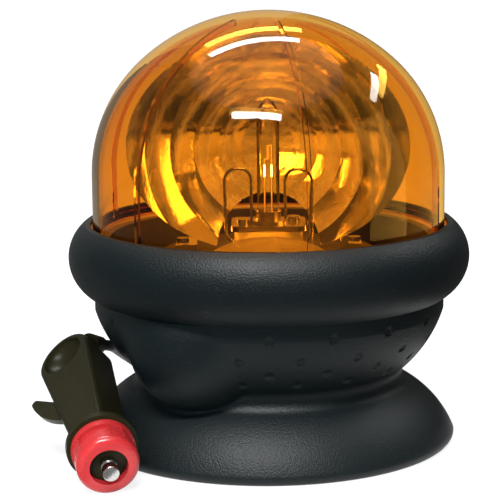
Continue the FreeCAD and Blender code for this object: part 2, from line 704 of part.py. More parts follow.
def plate_screw_places():
    return [(f"plate_screw_reach * cos({bearing} + spring_bearing + 28)",
             f"plate_screw_reach * sin({bearing} + spring_bearing + 28)") for bearing in (0, 180)]


def chassis_pan():
    """Pan that hangs in the boot by its flange and carries the lamp post, motor and gears."""
    body = new_body("chassis_pan")
    inner = "pan_radius - pan_wall"
    turn(body, "pan_turned", [
        ("post_foot_radius + screw_clearance", "pan_floor_height"),
        ("pan_radius", "pan_floor_height"),
        ("pan_radius", "flange_height"),
        ("dome_flange_radius", "flange_height"),
        ("dome_flange_radius", "seal_bottom"),
        (inner, "seal_bottom"),
        (inner, "pan_floor_top"),
        ("post_foot_radius + screw_clearance", "pan_floor_top"),
    ])
    depth = "pan_floor_thickness"
    drill(body, "motor_boss_hole", [motor_place()], "motor_boss_radius + screw_clearance", "pan_floor_top", depth)
    drill(body, "idler_pin_hole", [idler_place()], "idler_pin_radius + screw_clearance / 2", "pan_floor_top", depth)
    drill(body, "motor_screw_holes", motor_screw_places(), "screw_radius + screw_clearance", "pan_floor_top", depth)
    drill(body, "post_screw_holes", post_screw_places(), "screw_radius + screw_clearance", "pan_floor_top", depth)
    return keep(body)


def lamp_post():
    """Hollow post: flange under the pan, thick foot, shoulder for the bearing and a slim top."""
    body = new_body("lamp_post")
    bottom = "pan_floor_height - post_flange_thickness"
    groove_bottom = "ring_bottom - axial_gap / 2"
    groove_top = "ring_bottom + ring_thickness + axial_gap / 2"
    turn(body, "post_turned", [
        ("post_bore", bottom),
        ("post_flange_radius", bottom),
        ("post_flange_radius", "pan_floor_height"),
        ("post_foot_radius", "pan_floor_height"),
        ("post_foot_radius", "shoulder_height"),
        ("post_radius", "shoulder_height"),
        ("post_radius", groove_bottom),
        ("post_radius - ring_groove", groove_bottom),
        ("post_radius - ring_groove", groove_top),
        ("post_radius", groove_top),
        ("post_radius", "post_top"),
        ("post_bore", "post_top"),
    ])
    drill(body, "plate_screw_bores", plate_screw_places(), "screw_radius + screw_clearance",
          "post_top", "plate_screw_length")
    drill(body, "flange_holes", post_screw_places(), "screw_radius + screw_clearance",
          "pan_floor_height", "post_flange_thickness")
    hole = body.newObject("PartDesign::SubtractiveCylinder", "spring_holes")
    hole.setExpression("Radius", bound("spring_wire + running_gap"))
    hole.setExpression("Height", bound("4 * post_radius"))
    across = FreeCAD.Rotation(UP, amount("spring_bearing")).multVec(Vector(1, 0, 0))
    base = across * (-2 * amount("post_radius")) + UP * amount("spring_root")
    hole.Placement = FreeCAD.Placement(base, FreeCAD.Rotation(UP, across))
    return keep(body)


def holder_plate():
    """Rectangular plate on the post, with a round seat for the lamp."""
    body = new_body("holder_plate")
    sketch = new_sketch(body, "plate_outline", "XY_Plane", "post_top")
    half = "plate_width / 2"
    deep = "plate_depth / 2"
    corner = "plate_corner"
    draw(sketch, [
        (f"-{half}", f"-{deep} + {corner}"),
        (f"-{half} + {corner}", f"-{deep}", corner, 1),
        (f"{half} - {corner}", f"-{deep}"),
        (half, f"-{deep} + {corner}", corner, 1),
        (half, f"{deep} - {corner}"),
        (f"{half} - {corner}", deep, corner, 1),
        (f"-{half} + {corner}", deep),
        (f"-{half}", f"{deep} - {corner}", corner, 1),
    ])
    pad(body, sketch, "plate", "plate_thickness")
    drill(body, "lamp_seat", [("0", "0")], "lamp_shell_radius + screw_clearance", "plate_top", "plate_thickness")
    drill(body, "screw_holes", plate_screw_places(), "screw_radius + screw_clearance", "plate_top", "plate_thickness")
    return keep(body)


def lamp():
    """Halogen lamp: flanged base with a contact pin, tubular glass and an upright filament."""
    shell_bottom = "plate_top - lamp_shell_length"
    cap_top = "lamp_flange_top + lamp_cap_length"
    socket = "glass_radius + running_gap"
    glass_foot = "lamp_flange_top + axial_gap"
    turned("lamp_base", [
        ("0", f"{shell_bottom} - lamp_pin_length"),
        ("lamp_pin_radius", f"{shell_bottom} - lamp_pin_length"),
        ("lamp_pin_radius", shell_bottom),
        ("lamp_shell_radius", shell_bottom),
        ("lamp_shell_radius", "plate_top"),
        ("lamp_flange_radius", "plate_top"),
        ("lamp_flange_radius", "lamp_flange_top"),
        (f"{socket} + lamp_cap_wall", "lamp_flange_top"),
        (f"{socket} + lamp_cap_wall", cap_top),
        (socket, cap_top),
        (socket, "lamp_flange_top"),
        ("0", "lamp_flange_top"),
    ])
    tip = "lamp_flange_top + glass_length"
    point = "glass_wall"
    round_outer = "(glass_taper^2 + (glass_radius - glass_wall)^2) / (2 * (glass_radius - glass_wall))"
    bore = "glass_radius - glass_wall"
    turned("lamp_glass", [
        (bore, glass_foot),
        ("glass_radius", glass_foot),
        ("glass_radius", f"{tip} - glass_taper"),
        (point, tip, round_outer, 1),
        ("0", tip),
        ("0", f"{tip} - glass_taper + glass_radius - glass_wall"),
        (bore, f"{tip} - glass_taper", bore, -1),
    ])
    support = amount("support_radius")
    ring = amount("filament_radius")
    foot = amount("lamp_flange_top") + amount("axial_gap")
    middle = amount("filament_height")
    half = amount("filament_length") / 2
    winding = Part.makeCylinder(ring, 2 * half, Vector(0, 0, middle - half))
    reach = ring + 2 * support
    short_post = Part.makeCylinder(support, middle - half + support - foot, Vector(-reach, 0, foot))
    tall_post = Part.makeCylinder(support, middle + half + support - foot, Vector(reach, 0, foot))
    thin = 0.7 * support
    low_arm = Part.makeBox(reach, 2 * thin, 2 * thin, Vector(-reach, -thin, middle - half - thin))
    high_arm = Part.makeBox(reach, 2 * thin, 2 * thin, Vector(0, -thin, middle + half - thin))
    solid("lamp_filament", winding.fuse([short_post, tall_post, low_arm, high_arm]))


def lamp_springs():
    """Two wire springs: from the post's side, up over the plate's edge and down on the lamp's flange."""
    wire = amount("spring_wire")
    outer = amount("spring_outer")
    inner = amount("spring_inner")
    top = amount("spring_top")
    points = [
        Vector(amount("post_bore") + 3 * wire, 0, amount("spring_root")),
        Vector(outer, 0, amount("spring_root")),
        Vector(outer + wire, 0, top),
        Vector(inner, 0, top + wire),
        Vector(inner, 0, amount("lamp_flange_top + running_gap")),
    ]
    right = tube_along(points, wire)[0]
    right.rotate(Vector(), UP, amount("spring_bearing"))
    left = right.copy()
    left.rotate(Vector(), UP, 180)
    solid("lamp_springs", Part.makeCompound([right, left]))


def lamp_connector():
    """Push-on sleeve on the lamp's contact pin, closed below."""
    pin_bottom = "plate_top - lamp_shell_length - lamp_pin_length"
    bore = "lamp_pin_radius + running_gap"
    top = "plate_top - lamp_shell_length - axial_gap"
    bottom = f"{top} - connector_length"
    turned("lamp_connector", [
        ("0", bottom),
        (f"{bore} + connector_wall", bottom),
        (f"{bore} + connector_wall", top),
        (bore, top),
        (bore, f"{pin_bottom} - axial_gap"),
        ("0", f"{pin_bottom} - axial_gap"),
    ])


def bearing():
    """Flanged sleeve on the post, and the ring that keeps the turntable on it."""
    bore = "post_radius + running_gap / 2"
    flange_top = "shoulder_height + sleeve_flange_thickness"
    turned("bearing_sleeve", [
        (bore, "shoulder_height"),
        ("sleeve_radius + sleeve_flange", "shoulder_height"),
        ("sleeve_radius + sleeve_flange", flange_top),
        ("sleeve_radius", flange_top),
        ("sleeve_radius", "sleeve_top"),
        (bore, "sleeve_top"),
    ])
    turned("retaining_ring", block("post_radius - ring_groove + running_gap", "ring_bottom",
                                   "post_radius + ring_reach", "ring_bottom + ring_thickness"))


def turntable():
    """Plate with a hub below that runs on the bearing sleeve."""
    body = new_body("turntable")
    bore = "sleeve_radius + running_gap"
    turn(body, "table_turned", [
        (bore, "hub_bottom"),
        ("hub_radius", "hub_bottom"),
        ("hub_radius", "table_bottom"),
        ("table_radius", "table_bottom"),
        ("table_radius", "table_top"),
        (bore, "table_top"),
    ])
    drill(body, "mirror_screw_holes", mirror_screw_places(), "screw_radius + screw_clearance",
          "table_top", "table_thickness")
    return keep(body)


def gear_face(teeth, bore, phase):
    """Outline of a spur gear with involute flanks, one tooth's middle at the given angle."""
    module = amount("gear_module")
    pressure = math.radians(amount("gear_pressure"))
    pitch = module * teeth / 2
    base = pitch * math.cos(pressure)
    tip = pitch + module
    root = pitch - 1.25 * module
    start = max(base, root)
    half_tooth = math.pi / (2 * teeth) - amount("gear_backlash") / (4 * pitch)
    at_pitch = math.tan(pressure) - pressure

    def half_angle(radius):
        slope = math.acos(min(base / radius, 1))
        return half_tooth + at_pitch - (math.tan(slope) - slope)

    def point(radius, angle):
        return Vector(radius * math.cos(angle), radius * math.sin(angle), 0)

    edges = []
    step = 2 * math.pi / teeth
    flank = [start, (start + tip) / 2, tip]
    for number in range(teeth):
        middle = phase + number * step
        rising = [point(radius, middle - half_angle(radius)) for radius in flank]
        falling = [point(radius, middle + half_angle(radius)) for radius in reversed(flank)]
        foot_in = point(root, middle - half_angle(start))
        foot_out = point(root, middle + half_angle(start))
        next_foot = point(root, middle + step - half_angle(start))
        if root < start:
            edges.append(Part.LineSegment(foot_in, rising[0]).toShape())
        edges.append(Part.Arc(*rising).toShape())
        edges.append(Part.Arc(rising[-1], point(tip, middle), falling[0]).toShape())
        edges.append(Part.Arc(*falling).toShape())
        if root < start:
            edges.append(Part.LineSegment(falling[-1], foot_out).toShape())
        edges.append(Part.Arc(foot_out, point(root, middle + step / 2), next_foot).toShape())
    hole = Part.Wire(Part.Circle(Vector(), UP, bore).toShape())
    return Part.makeFace([Part.Wire(edges), hole], "Part::FaceMakerBullseye")


def gear_train():
    """Ring gear under the turntable, idler of wheel and pinion, and the motor's pinion, all in mesh."""
    ring_teeth = int(amount("ring_gear_teeth"))
    wheel_teeth = int(amount("idler_teeth"))
    pinion_teeth = int(amount("pinion_teeth"))
    idler = Vector(amount(idler_place()[0]), amount(idler_place()[1]), 0)
    motor = Vector(amount(motor_place()[0]), amount(motor_place()[1]), 0)
    to_idler = math.atan2(idler.y, idler.x)
    to_motor = math.atan2(motor.y - idler.y, motor.x - idler.x)
    half_step = math.pi / pinion_teeth

    ring = gear_face(ring_teeth, amount("hub_radius + running_gap / 2"), to_idler)
    ring.translate(UP * amount("ring_gear_bottom"))
    solid("ring_gear", ring.extrude(UP * amount("ring_gear_face")))

    bore = amount("idler_pin_radius + running_gap")
    wheel_bottom = amount("idler_bottom")
    wheel_top = wheel_bottom + amount("idler_face")
    wheel = gear_face(wheel_teeth, bore, to_motor)
    wheel = wheel.extrude(UP * (wheel_top - wheel_bottom))
    wheel.translate(idler + UP * wheel_bottom)
    pinion = gear_face(pinion_teeth, bore, to_idler + math.pi + half_step)
    pinion = pinion.extrude(UP * (amount("idler_top") - wheel_top))
    pinion.translate(idler + UP * wheel_top)
    solid("idler_gear", wheel.fuse(pinion))

    drive = gear_face(pinion_teeth, amount("shaft_radius + running_gap / 5"), to_motor + math.pi + half_step)
    drive = drive.extrude(UP * amount("idler_face"))
    drive.translate(motor + UP * wheel_bottom)
    solid("drive_pinion", drive)

    pin = new_body("idler_pin")
    turn(pin, "pin_turned", [
        ("0", "pan_floor_height"),
        ("idler_pin_radius", "pan_floor_height"),
        ("idler_pin_radius", "pan_floor_top"),
        ("idler_collar", "pan_floor_top"),
        ("idler_collar", "pan_floor_top + idler_collar_height"),
        ("idler_pin_radius", "pan_floor_top + idler_collar_height"),
        ("idler_pin_radius", "idler_top"),
        ("0", "idler_top"),
    ])
    place(pin, *idler_place())
    keep(pin)


def motor():
    """Round motor hung under the pan: can, end cap, and a shaft up through the floor."""
    bore = "shaft_radius + running_gap"
    can_bottom = "motor_top - motor_length"
    can = new_body("motor_can")
    turn(can, "can_turned", [
        (bore, can_bottom),
        ("motor_radius", can_bottom),
        ("motor_radius", "motor_top"),
        ("motor_boss_radius", "motor_top"),
        ("motor_boss_radius", "motor_top + motor_boss_height"),
        (bore, "motor_top + motor_boss_height"),
    ])
    step_places = [(f"{x} - ({motor_place()[0]})", f"{y} - ({motor_place()[1]})") for x, y in motor_screw_places()]
    drill(can, "motor_screw_bores", step_places, "screw_radius + screw_clearance", "motor_top", "3 * screw_head_radius")
    place(can, *motor_place())
    keep(can)
    cap = turned("motor_end_cap", block("0", f"{can_bottom} - motor_cap_thickness", "motor_radius - pan_wall / 2",
                                        can_bottom))
    place(cap, *motor_place())
    shaft_top = "idler_bottom + idler_face"
    shaft_bottom = f"{can_bottom} + motor_cap_thickness"
    keep(rod("motor_shaft", "shaft_radius", shaft_bottom, f"{shaft_top} - ({shaft_bottom})", *motor_place()))


def mirror_screw_places():
    """In the middle of what each foot's web leaves free."""
    across = "(mirror_foot_reach + mirror_gusset / 2)"
    return [(f"{sign}{across}", "mirror_foot_depth / 4") for sign in ("", "-")]


def mirror():
    """Fluted dish, trimmed to an oval, with an arch cut out round the lamp post and two feet."""
    focus = amount("mirror_focus")
    thickness = amount("mirror_thickness")
    half_width = amount("mirror_half_width")
    half_height = amount("mirror_half_height")
    disc = amount("mirror_disc")
    flutes = int(amount("mirror_flutes"))
    depth = amount("mirror_flute_depth")
    axis_height = amount("filament_height")
    rim = half_width + thickness

    def dish(radius, behind=0.0):
        return Vector(0, focus - radius * radius / (4 * focus) + behind, axis_height + radius)

    edges = [Part.Arc(dish(0), dish(disc / 2), dish(disc)).toShape()]
    for number in range(flutes):
        inner = disc + (rim - disc) * number / flutes
        outer = disc + (rim - disc) * (number + 1) / flutes
        start = dish(inner)
        end = dish(outer)
        chord = end - start
        back = Vector(0, chord.z, -chord.y).normalize()
        edges.append(Part.Arc(start, (start + end) * 0.5 + back * depth, end).toShape())
    behind = Part.BSplineCurve()
    behind.interpolate([dish(rim * number / 8, thickness) for number in range(9)])
    edges.append(Part.LineSegment(dish(rim), dish(rim, thickness)).toShape())
    edges.append(behind.toShape())
    edges.append(Part.LineSegment(dish(0, thickness), dish(0)).toShape())
    profile = Part.Face(Part.Wire(Part.sortEdges(edges)[0]))
    shell = profile.revolve(Vector(0, 0, axis_height), Vector(0, 1, 0), 360)

    far = 4 * half_width
    oval_height = amount("mirror_oval_height")
    oval = Part.Ellipse(Vector(half_width, -far / 2, oval_height), Vector(0, -far / 2, oval_height + half_height),
                        Vector(0, -far / 2, oval_height))
    trim = Part.Face(Part.Wire(oval.toShape())).extrude(Vector(0, far, 0))
    shell = shell.common(trim)
    table = amount("table_top")
    arch = Part.makeCylinder(amount("mirror_arch"), far, Vector(0, -far / 2, table), Vector(0, 1, 0))
    below = Part.makeBox(2 * far, 2 * far, far, Vector(-far, -far, table - far + amount("rubber_clearance")))
    shell = shell.cut([arch, below])

    inside = Part.BSplineCurve()
    inside.interpolate([dish(rim * number / 8, depth) for number in range(9)])
    front_edges = [inside.toShape(), Part.LineSegment(dish(rim, depth), dish(rim) - Vector(0, far, 0)).toShape(),
                   Part.LineSegment(dish(rim) - Vector(0, far, 0), Vector(0, dish(rim).y - far, axis_height)).toShape(),
                   Part.LineSegment(Vector(0, dish(rim).y - far, axis_height), dish(0, depth)).toShape()]
    beam = Part.Face(Part.Wire(front_edges)).revolve(Vector(0, 0, axis_height), Vector(0, 1, 0), 360)
    width = amount("mirror_foot_width")
    deep = amount("mirror_foot_depth")
    reach = amount("mirror_foot_reach")
    gusset = amount("mirror_gusset")
    screw_across, screw_depth = (amount(text) for text in mirror_screw_places()[0])
    feet = []
    for side in (-1, 1):
        foot = Part.makeBox(width, deep, amount("mirror_foot_height"),
                            Vector(side * reach - width / 2, -deep / 4, table))
        web = Part.makeBox(gusset, deep, half_height / 2,
                           Vector(side * reach - gusset / 2 - side * (width - gusset) / 2, -deep / 4, table))
        hole = Part.makeCylinder(amount("screw_radius + screw_clearance"), far,
                                 Vector(side * screw_across, screw_depth, 0))
        feet.append(foot.fuse(web.cut(beam)).cut(hole))
    solid("mirror", shell.fuse(feet).removeSplitter())


def balance_weight():
    """Low domed weight in front of the lamp, against the mirror's pull."""
    table = amount("table_top")
    spread = amount("weight_spread")
    outer = amount("weight_outer")
    inner = amount("spring_outer + 2 * spring_wire + spin_room")
    height = amount("weight_height")
    crown = amount("weight_crown")
    sector = Part.makeCylinder(outer, height, Vector(0, 0, table), UP, spread)
    sector = sector.cut(Part.makeCylinder(inner, height, Vector(0, 0, table)))
    sector.rotate(Vector(), UP, 270 - spread / 2)
    ball = Part.makeSphere(crown, Vector(0, -amount("weight_middle"), table + height - crown))
    solid("balance_weight", sector.common(ball))


def magnet():
    """Pot magnet under the foot: steel pot, ferrite ring, pole piece, and a bolt down from inside the boot."""
    pot_top = "magnet_recess + pot_height"
    roof = f"{pot_top} - pot_wall"
    hole = "bolt_radius + screw_clearance"
    turned("magnet_pot", [
        (hole, roof),
        ("pot_radius - pot_wall", roof),
        ("pot_radius - pot_wall", "magnet_recess"),
        ("pot_radius", "magnet_recess"),
        ("pot_radius", pot_top),
        (hole, pot_top),
    ])
    turned("ferrite_magnet", block("pole_radius + magnet_gap", "2 * magnet_recess",
                                   "pot_radius - pot_wall - magnet_gap", roof))
    turned("pole_piece", block(hole, "magnet_recess", "pole_radius", roof))
    seat = "web_top + washer_thickness"
    turned("magnet_washer", block(hole, "web_top", "washer_radius", seat))
    turned("magnet_bolt", [
        ("0", f"{seat} - bolt_length"),
        ("bolt_radius", f"{seat} - bolt_length"),
        ("bolt_radius", seat),
        ("bolt_head_radius", seat),
        ("bolt_head_radius", f"{seat} + bolt_head_height"),
        ("0", f"{seat} + bolt_head_height"),
    ])


def cable_gland():
    """Tapered rubber gland through the back of the bowl."""
    body = new_body("cable_gland")
    inside = "gland_flange"
    turn(body, "gland_turned", [
        ("0", f"-{inside} - 2 * gland_flange_thickness"),
        ("gland_neck", f"-{inside} - 2 * gland_flange_thickness"),
        ("gland_neck", "gland_flange_thickness"),
        ("gland_flange", "gland_flange_thickness"),
        ("gland_flange", "2 * gland_flange_thickness"),
        ("gland_neck", "2 * gland_flange_thickness"),
        ("cord_radius + gland_flange_thickness / 2", "gland_taper"),
        ("0", "gland_taper"),
    ])
    body.Placement = gland_frame()
    return keep(body)


def plug_frame(along=0.0):
    """Upright becomes the plug's own axis, nose down and forwards; its X stays level."""
    tilt = math.radians(amount("plug_tilt"))
    yaw = math.radians(amount("plug_yaw"))
    nose = Vector(math.sin(yaw) * math.cos(tilt), -math.cos(yaw) * math.cos(tilt), -math.sin(tilt))
    side = Vector(math.cos(yaw), math.sin(yaw), 0)
    soft = amount("adapter_bead_round")
    lift = (amount("adapter_length + adapter_seat_gap") - soft) * math.sin(tilt)
    lift += (amount("adapter_bead_radius") - soft) * math.cos(tilt) + soft
    base = Vector(amount("plug_x"), amount("plug_y"), lift) + nose * along
    level = FreeCAD.Rotation(side, nose.cross(side), nose, "ZXY")
    return FreeCAD.Placement(base, level * FreeCAD.Rotation(UP, amount("plug_roll")))


def relief_frame(along=0.0):
    """Upright becomes the strain relief's axis, out of the upper corner of the handle's round tail."""
    heading = math.radians(amount("relief_heading"))
    fall = math.radians(amount("relief_fall"))
    axis = Vector(math.sin(heading) * math.cos(fall), math.cos(heading) * math.cos(fall), -math.sin(fall))
    root = Vector(amount("relief_across"), amount("relief_lift"), amount("relief_inset - handle_length"))
    return FreeCAD.Placement(plug_frame().multVec(root) + axis * along, FreeCAD.Rotation(UP, axis))


def plug_handle():
    """Flat-sided handle with a collar in front, a wing on its left, and a finger dish at its round tail."""
    body = new_body("plug_handle")
    half = "handle_half_width"
    tail = "handle_tail_round"
    front = "plug_collar_thickness / 2"
    sketch = new_sketch(body, "handle_outline", "XZ_Plane")
    draw(sketch, [
        (f"-{half}", f"-{front}"),
        (f"-{tail}", f"{tail} - handle_length"),
        ("0", "-handle_length", tail, 1),
        (tail, f"{tail} - handle_length", tail, 1),
        (half, f"-{front}"),
    ])
    block_pad = pad(body, sketch, "handle", "handle_thickness", both_ways=True)
    doc.recompute()
    face = amount("handle_thickness / 2")
    edges = [f"Edge{number}" for number, edge in enumerate(block_pad.Shape.Edges, start=1)
             if all(abs(abs(vertex.Y) - face) < 1e-6 for vertex in edge.Vertexes) and edge.BoundBox.YLength < 1e-6]
    softened = body.newObject("PartDesign::Fillet", "handle_edges")
    softened.Base = (block_pad, edges)
    softened.setExpression("Radius", bound("handle_edge"))
    root = f"-{half}"
    tip = f"-({half} + wing_reach)"
    start = "plug_collar_thickness + wing_front"
    outline = new_sketch(body, "wing_outline", "XZ_Plane", "-wing_lift")
    draw(outline, [
        (root, f"-({start} + wing_length / 2)"),
        (root, f"-({start})"),
        (tip, f"-({start} + wing_length)", "1.6 * wing_length", 1),
        (f"{tip} + wing_thickness", f"-({start} + wing_length + wing_thickness / 2)", "0.6 * wing_thickness", 1),
    ])
    pad(body, outline, "wing", "wing_thickness", both_ways=True)
    turn(body, "collar", block("0", "-plug_collar_thickness", "plug_collar_radius", "0"))
    doc.recompute()
    dish = body.newObject("PartDesign::SubtractiveEllipsoid", "finger_dish")
    dish.setExpression("Radius1", bound("dish_length"))
    dish.setExpression("Radius2", bound("dish_radius"))
    dish.setExpression("Radius3", bound("dish_depth"))
    place(dish, "0", "handle_thickness / 2", f"{tail} - handle_length + dish_length - dish_radius")
    bore = "handle_bore"
    spigot = "spigot_radius + running_gap"
    fuse_end = "spigot_length + fuse_length + fuse_gap"
    turn(body, "bores", [
        ("0", f"-({fuse_end} + fuse_gap)"),
        (bore, f"-({fuse_end} + fuse_gap)"),
        (bore, "-(spigot_length + fuse_gap)"),
        (spigot, "-(spigot_length + fuse_gap)"),
        (spigot, "0"),
        ("0", "0"),
    ], "Groove")
    body.Placement = plug_frame()
    return keep(body)


def plug_nose():
    """Nose sleeve, spring tip with its spring, fuse, adapter ring and strain relief, all on the plug's axis."""
    frame = plug_frame()
    tip_bore = "tip_radius + running_gap"
    sleeve = turned("plug_sleeve", [
        ("chamber_radius", "-spigot_length"),
        ("spigot_radius", "-spigot_length"),
        ("spigot_radius", "0"),
        ("nose_radius", "0"),
        ("nose_radius", "nose_end"),
        (tip_bore, "nose_end"),
        (tip_bore, "nose_end - nose_wall"),
        ("chamber_radius", "nose_end - nose_wall"),
    ])
    flange_top = "nose_end - nose_wall - axial_gap"
    flange_bottom = f"{flange_top} - tip_flange"
    tip_end = "nose_end + tip_reach"
    groove = f"{tip_end} - tip_radius - 2 * tip_neck"
    tip = turned("contact_tip", [
        ("0", flange_bottom),
        ("chamber_radius - running_gap", flange_bottom),
        ("chamber_radius - running_gap", flange_top),
        ("tip_radius", flange_top),
        ("tip_radius", f"{groove} - 2 * tip_neck"),
        ("tip_radius - tip_neck", f"{groove} - tip_neck"),
        ("tip_radius - tip_neck", groove),
        ("tip_radius", f"{groove} + tip_neck"),
        ("tip_radius", f"{tip_end} - tip_neck"),
        ("tip_radius - tip_neck", tip_end, "tip_neck", 1),
        ("0", tip_end),
    ])
    fuse_top = "-spigot_length"
    fuse = turned("fuse", block("0", f"{fuse_top} - fuse_length", "fuse_radius", fuse_top))
    wire = amount("spring_wire_tip")
    bottom = amount(fuse_top) + wire + amount("axial_gap")
    height = amount(flange_bottom) - amount("axial_gap") - wire - bottom
    coil_radius = amount("fuse_radius") - wire / 2
    helix = Part.makeHelix(height / amount("spring_coils"), height, coil_radius)
    helix.translate(UP * bottom)
    start = helix.Edges[0].valueAt(helix.Edges[0].FirstParameter)
    way = helix.Edges[0].tangentAt(helix.Edges[0].FirstParameter)
    section = Part.Wire(Part.Circle(start, way, wire).toShape())
    spring = Part.Wire(helix.Edges).makePipeShell([section], True, True)
    solid("tip_spring", spring, frame)

    ring = new_body("adapter_ring")
    bore = "nose_radius + adapter_gap"
    low = "adapter_seat_gap"
    waist = f"{low} + adapter_flange_length"
    bead = f"{low} + bead_back"
    front = f"{low} + adapter_length"
    soft = "adapter_bead_round"
    turn(ring, "adapter_turned", [
        (bore, low),
        ("adapter_flange_radius", low),
        ("adapter_flange_radius", waist),
        ("adapter_waist_radius", waist),
        ("adapter_waist_radius", bead),
        ("adapter_bead_radius", f"{bead} + adapter_gap"),
        ("adapter_bead_radius", f"{front} - {soft}"),
        (f"adapter_bead_radius - {soft}", front, soft, 1),
        (bore, front),
    ])
    outline = new_sketch(ring, "rib_outline", "XY_Plane", waist)
    draw(outline, block("adapter_waist_radius - adapter_rib_width / 2", "-adapter_rib_width / 2",
                        "adapter_bead_radius - adapter_gap", "adapter_rib_width / 2"))
    rib = pad(ring, outline, "adapter_rib", "bead_back - adapter_flange_length + adapter_rib_width / 2")
    ring_around(ring, rib, "adapter_ribs", "adapter_rib_count")
    keep(ring)

    for item in (sleeve, tip, fuse):
        item.Placement = frame
    ring.Placement = frame * FreeCAD.Placement(Vector(), FreeCAD.Rotation(UP, amount("adapter_rib_bearing")))


def strain_relief(handle):
    """Short taper round the cord, its root shaped to the handle's tail."""
    doc.recompute()
    thin = amount("cord_radius + gland_flange_thickness / 2")
    wide = amount("relief_radius")
    taper = Part.makeCone(wide, thin, amount("relief_length") - wide)
    taper.Placement = relief_frame(wide)
    solid("plug_strain_relief", taper.cut(handle.Shape))


def cord_points():
    """The cord's two stretches that aren't coiled: from the plug to the coil, and from the coil to the gland."""
    relief_end = amount("relief_length")
    from_plug = [
        relief_frame(relief_end).Base,
        relief_frame(relief_end + 4 * amount("cord_radius")).Base,
        Vector(-59.2, 22.4, 28.2),
        Vector(-57, 33.5, 23.2),
        Vector(-53, 47, 16.5),
        Vector(-47.5, 61, 9.5),
        Vector(-41.8, 75, 4.4),
        Vector(-37.1, 89, 2.4),
        Vector(-34.5, 102, 2.6),
        Vector(-33.7, 115, 3.6),
    ]
    gland_tip = gland_frame(amount("gland_taper"))
    gland_out = gland_frame(amount("gland_taper + 5 * cord_radius"))
    from_gland = [
        gland_tip.Base,
        gland_out.Base,
        Vector(40.5, 81, 11.8),
        Vector(40, 92, 10.8),
        Vector(36.5, 104, 12),
        Vector(33.7, 116.5, 14.5),
    ]
    return from_plug, from_gland


def cord():
    """Round cord: two plain tubes, the outer shape of the tied coil, and its strap."""
    from_plug, from_gland = cord_points()
    radius = amount("cord_radius")
    for label, points in (("cord_plug_run", from_plug), ("cord_gland_run", from_gland)):
        bar, length, radii, share = tube_along(points, radius)
        print(label, "length", round(length, 1), "volume over section times length", round(share, 4),
              "radii", [round(value, 1) for value in radii])
        print(label, "points", [tuple(round(value, 2) for value in point) for point in points])
        solid(label, bar)
    lift = "tie_thickness + running_gap"
    inner = "coil_middle - coil_half"
    outer = "coil_middle + coil_half"
    top = f"{lift} + 2 * coil_half"
    corner = "cord_radius"
    coil = turned("cord_coil", [
        (f"{inner} + {corner}", lift, corner, 1),
        (f"{outer} - {corner}", lift),
        (outer, f"{lift} + {corner}", corner, 1),
        (outer, f"{top} - {corner}"),
        (f"{outer} - {corner}", top, corner, 1),
        (f"{inner} + {corner}", top),
        (inner, f"{top} - {corner}", corner, 1),
        (inner, f"{lift} + {corner}"),
    ])
    place(coil, "coil_x", "coil_y")
    strap = amount("tie_thickness")
    gap = amount("running_gap")
    width = amount("tie_width")
    low = amount(inner) - gap
    tall = amount("2 * coil_half") + 2 * gap
    sag = amount("coil_half") * 0.2
    across = amount("2 * coil_half") + 2 * gap + sag
    band = Part.makeBox(across + 2 * strap, width, tall + 2 * strap, Vector(low - sag - strap, -width / 2, 0))
    band = band.cut(Part.makeBox(across, width, tall, Vector(low - sag, -width / 2, strap)))
    band.rotate(Vector(), UP, 200)
    band.translate(Vector(amount("coil_x"), amount("coil_y"), 0))
    solid("cord_tie", band)


def leads():
    """Two inner leads from the gland: one up the post to the lamp, one to the motor."""
    start = gland_frame(-amount("gland_flange + 2 * gland_flange_thickness"))
    radius = amount("lead_radius")
    side = start.Rotation.multVec(Vector(0, -1, 0)) * (2 * radius)
    inward = gland_frame(-amount("2.5 * gland_flange"))
    behind = amount("lead_bend_depth")
    turn_height = amount("lamp_lead_turn")
    connector = amount("plate_top - lamp_shell_length - axial_gap - connector_length")
    lamp_lead = [
        start.Base + side,
        inward.Base + side,
        Vector(amount("lamp_bend_across"), behind, amount("lamp_bend_height")),
        Vector(0, 0, turn_height),
        Vector(0, 0, connector),
    ]
    drop = amount("motor_lead_drop")
    can_bottom = amount("motor_top - motor_length - motor_cap_thickness")
    motor_base = Vector(amount(motor_place()[0]), amount(motor_place()[1]), can_bottom)
    motor_lead = [
        start.Base - side,
        inward.Base - side,
        Vector(0, behind, amount("motor_bend_height")),
        motor_base + Vector(amount("motor_lead_across"), amount("motor_lead_depth"), -drop),
        motor_base - UP * (drop - radius),
        motor_base,
    ]
    solid("lamp_lead", tube_along(lamp_lead, radius)[0])
    solid("motor_lead", tube_along(motor_lead, radius)[0])


rubber_boot()
rim_collar()
dome_lens()
dome_seal()
chassis_pan()
lamp_post()
holder_plate()
screws("plate_screws", plate_screw_places(), "plate_top", "plate_screw_length")
screws("post_screws", post_screw_places(), "pan_floor_height - post_flange_thickness",
       "post_flange_thickness + pan_floor_thickness - axial_gap", upward=True)
lamp()
lamp_springs()
lamp_connector()
bearing()
turntable()
gear_train()
motor()
screws("motor_screws", motor_screw_places(), "pan_floor_top", "pan_floor_thickness + 2 * screw_head_radius")
mirror()
screws("mirror_screws", mirror_screw_places(), "table_top + mirror_foot_height",
       "mirror_foot_height + table_thickness")
balance_weight()
magnet()
cable_gland()
strain_relief(plug_handle())
plug_nose()
cord()
leads()
doc.recompute()

faults = [item.Label for item in doc.Objects if {"Invalid", "Error"} & set(item.State)]
faults += [item.Label for item in pieces if item.Shape.isNull() or not item.Shape.isValid()]
if faults:
    raise RuntimeError("not sound: " + ", ".join(faults))

os.makedirs("parts", exist_ok=True)
for item in pieces:
    item.Shape.exportStep(f"parts/{item.Label}.step")
    print(item.Label, "solids", len(item.Shape.Solids), "volume", round(item.Shape.Volume, 1))
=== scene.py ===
import math

import bmesh
import bpy
from mathutils import Matrix, Vector


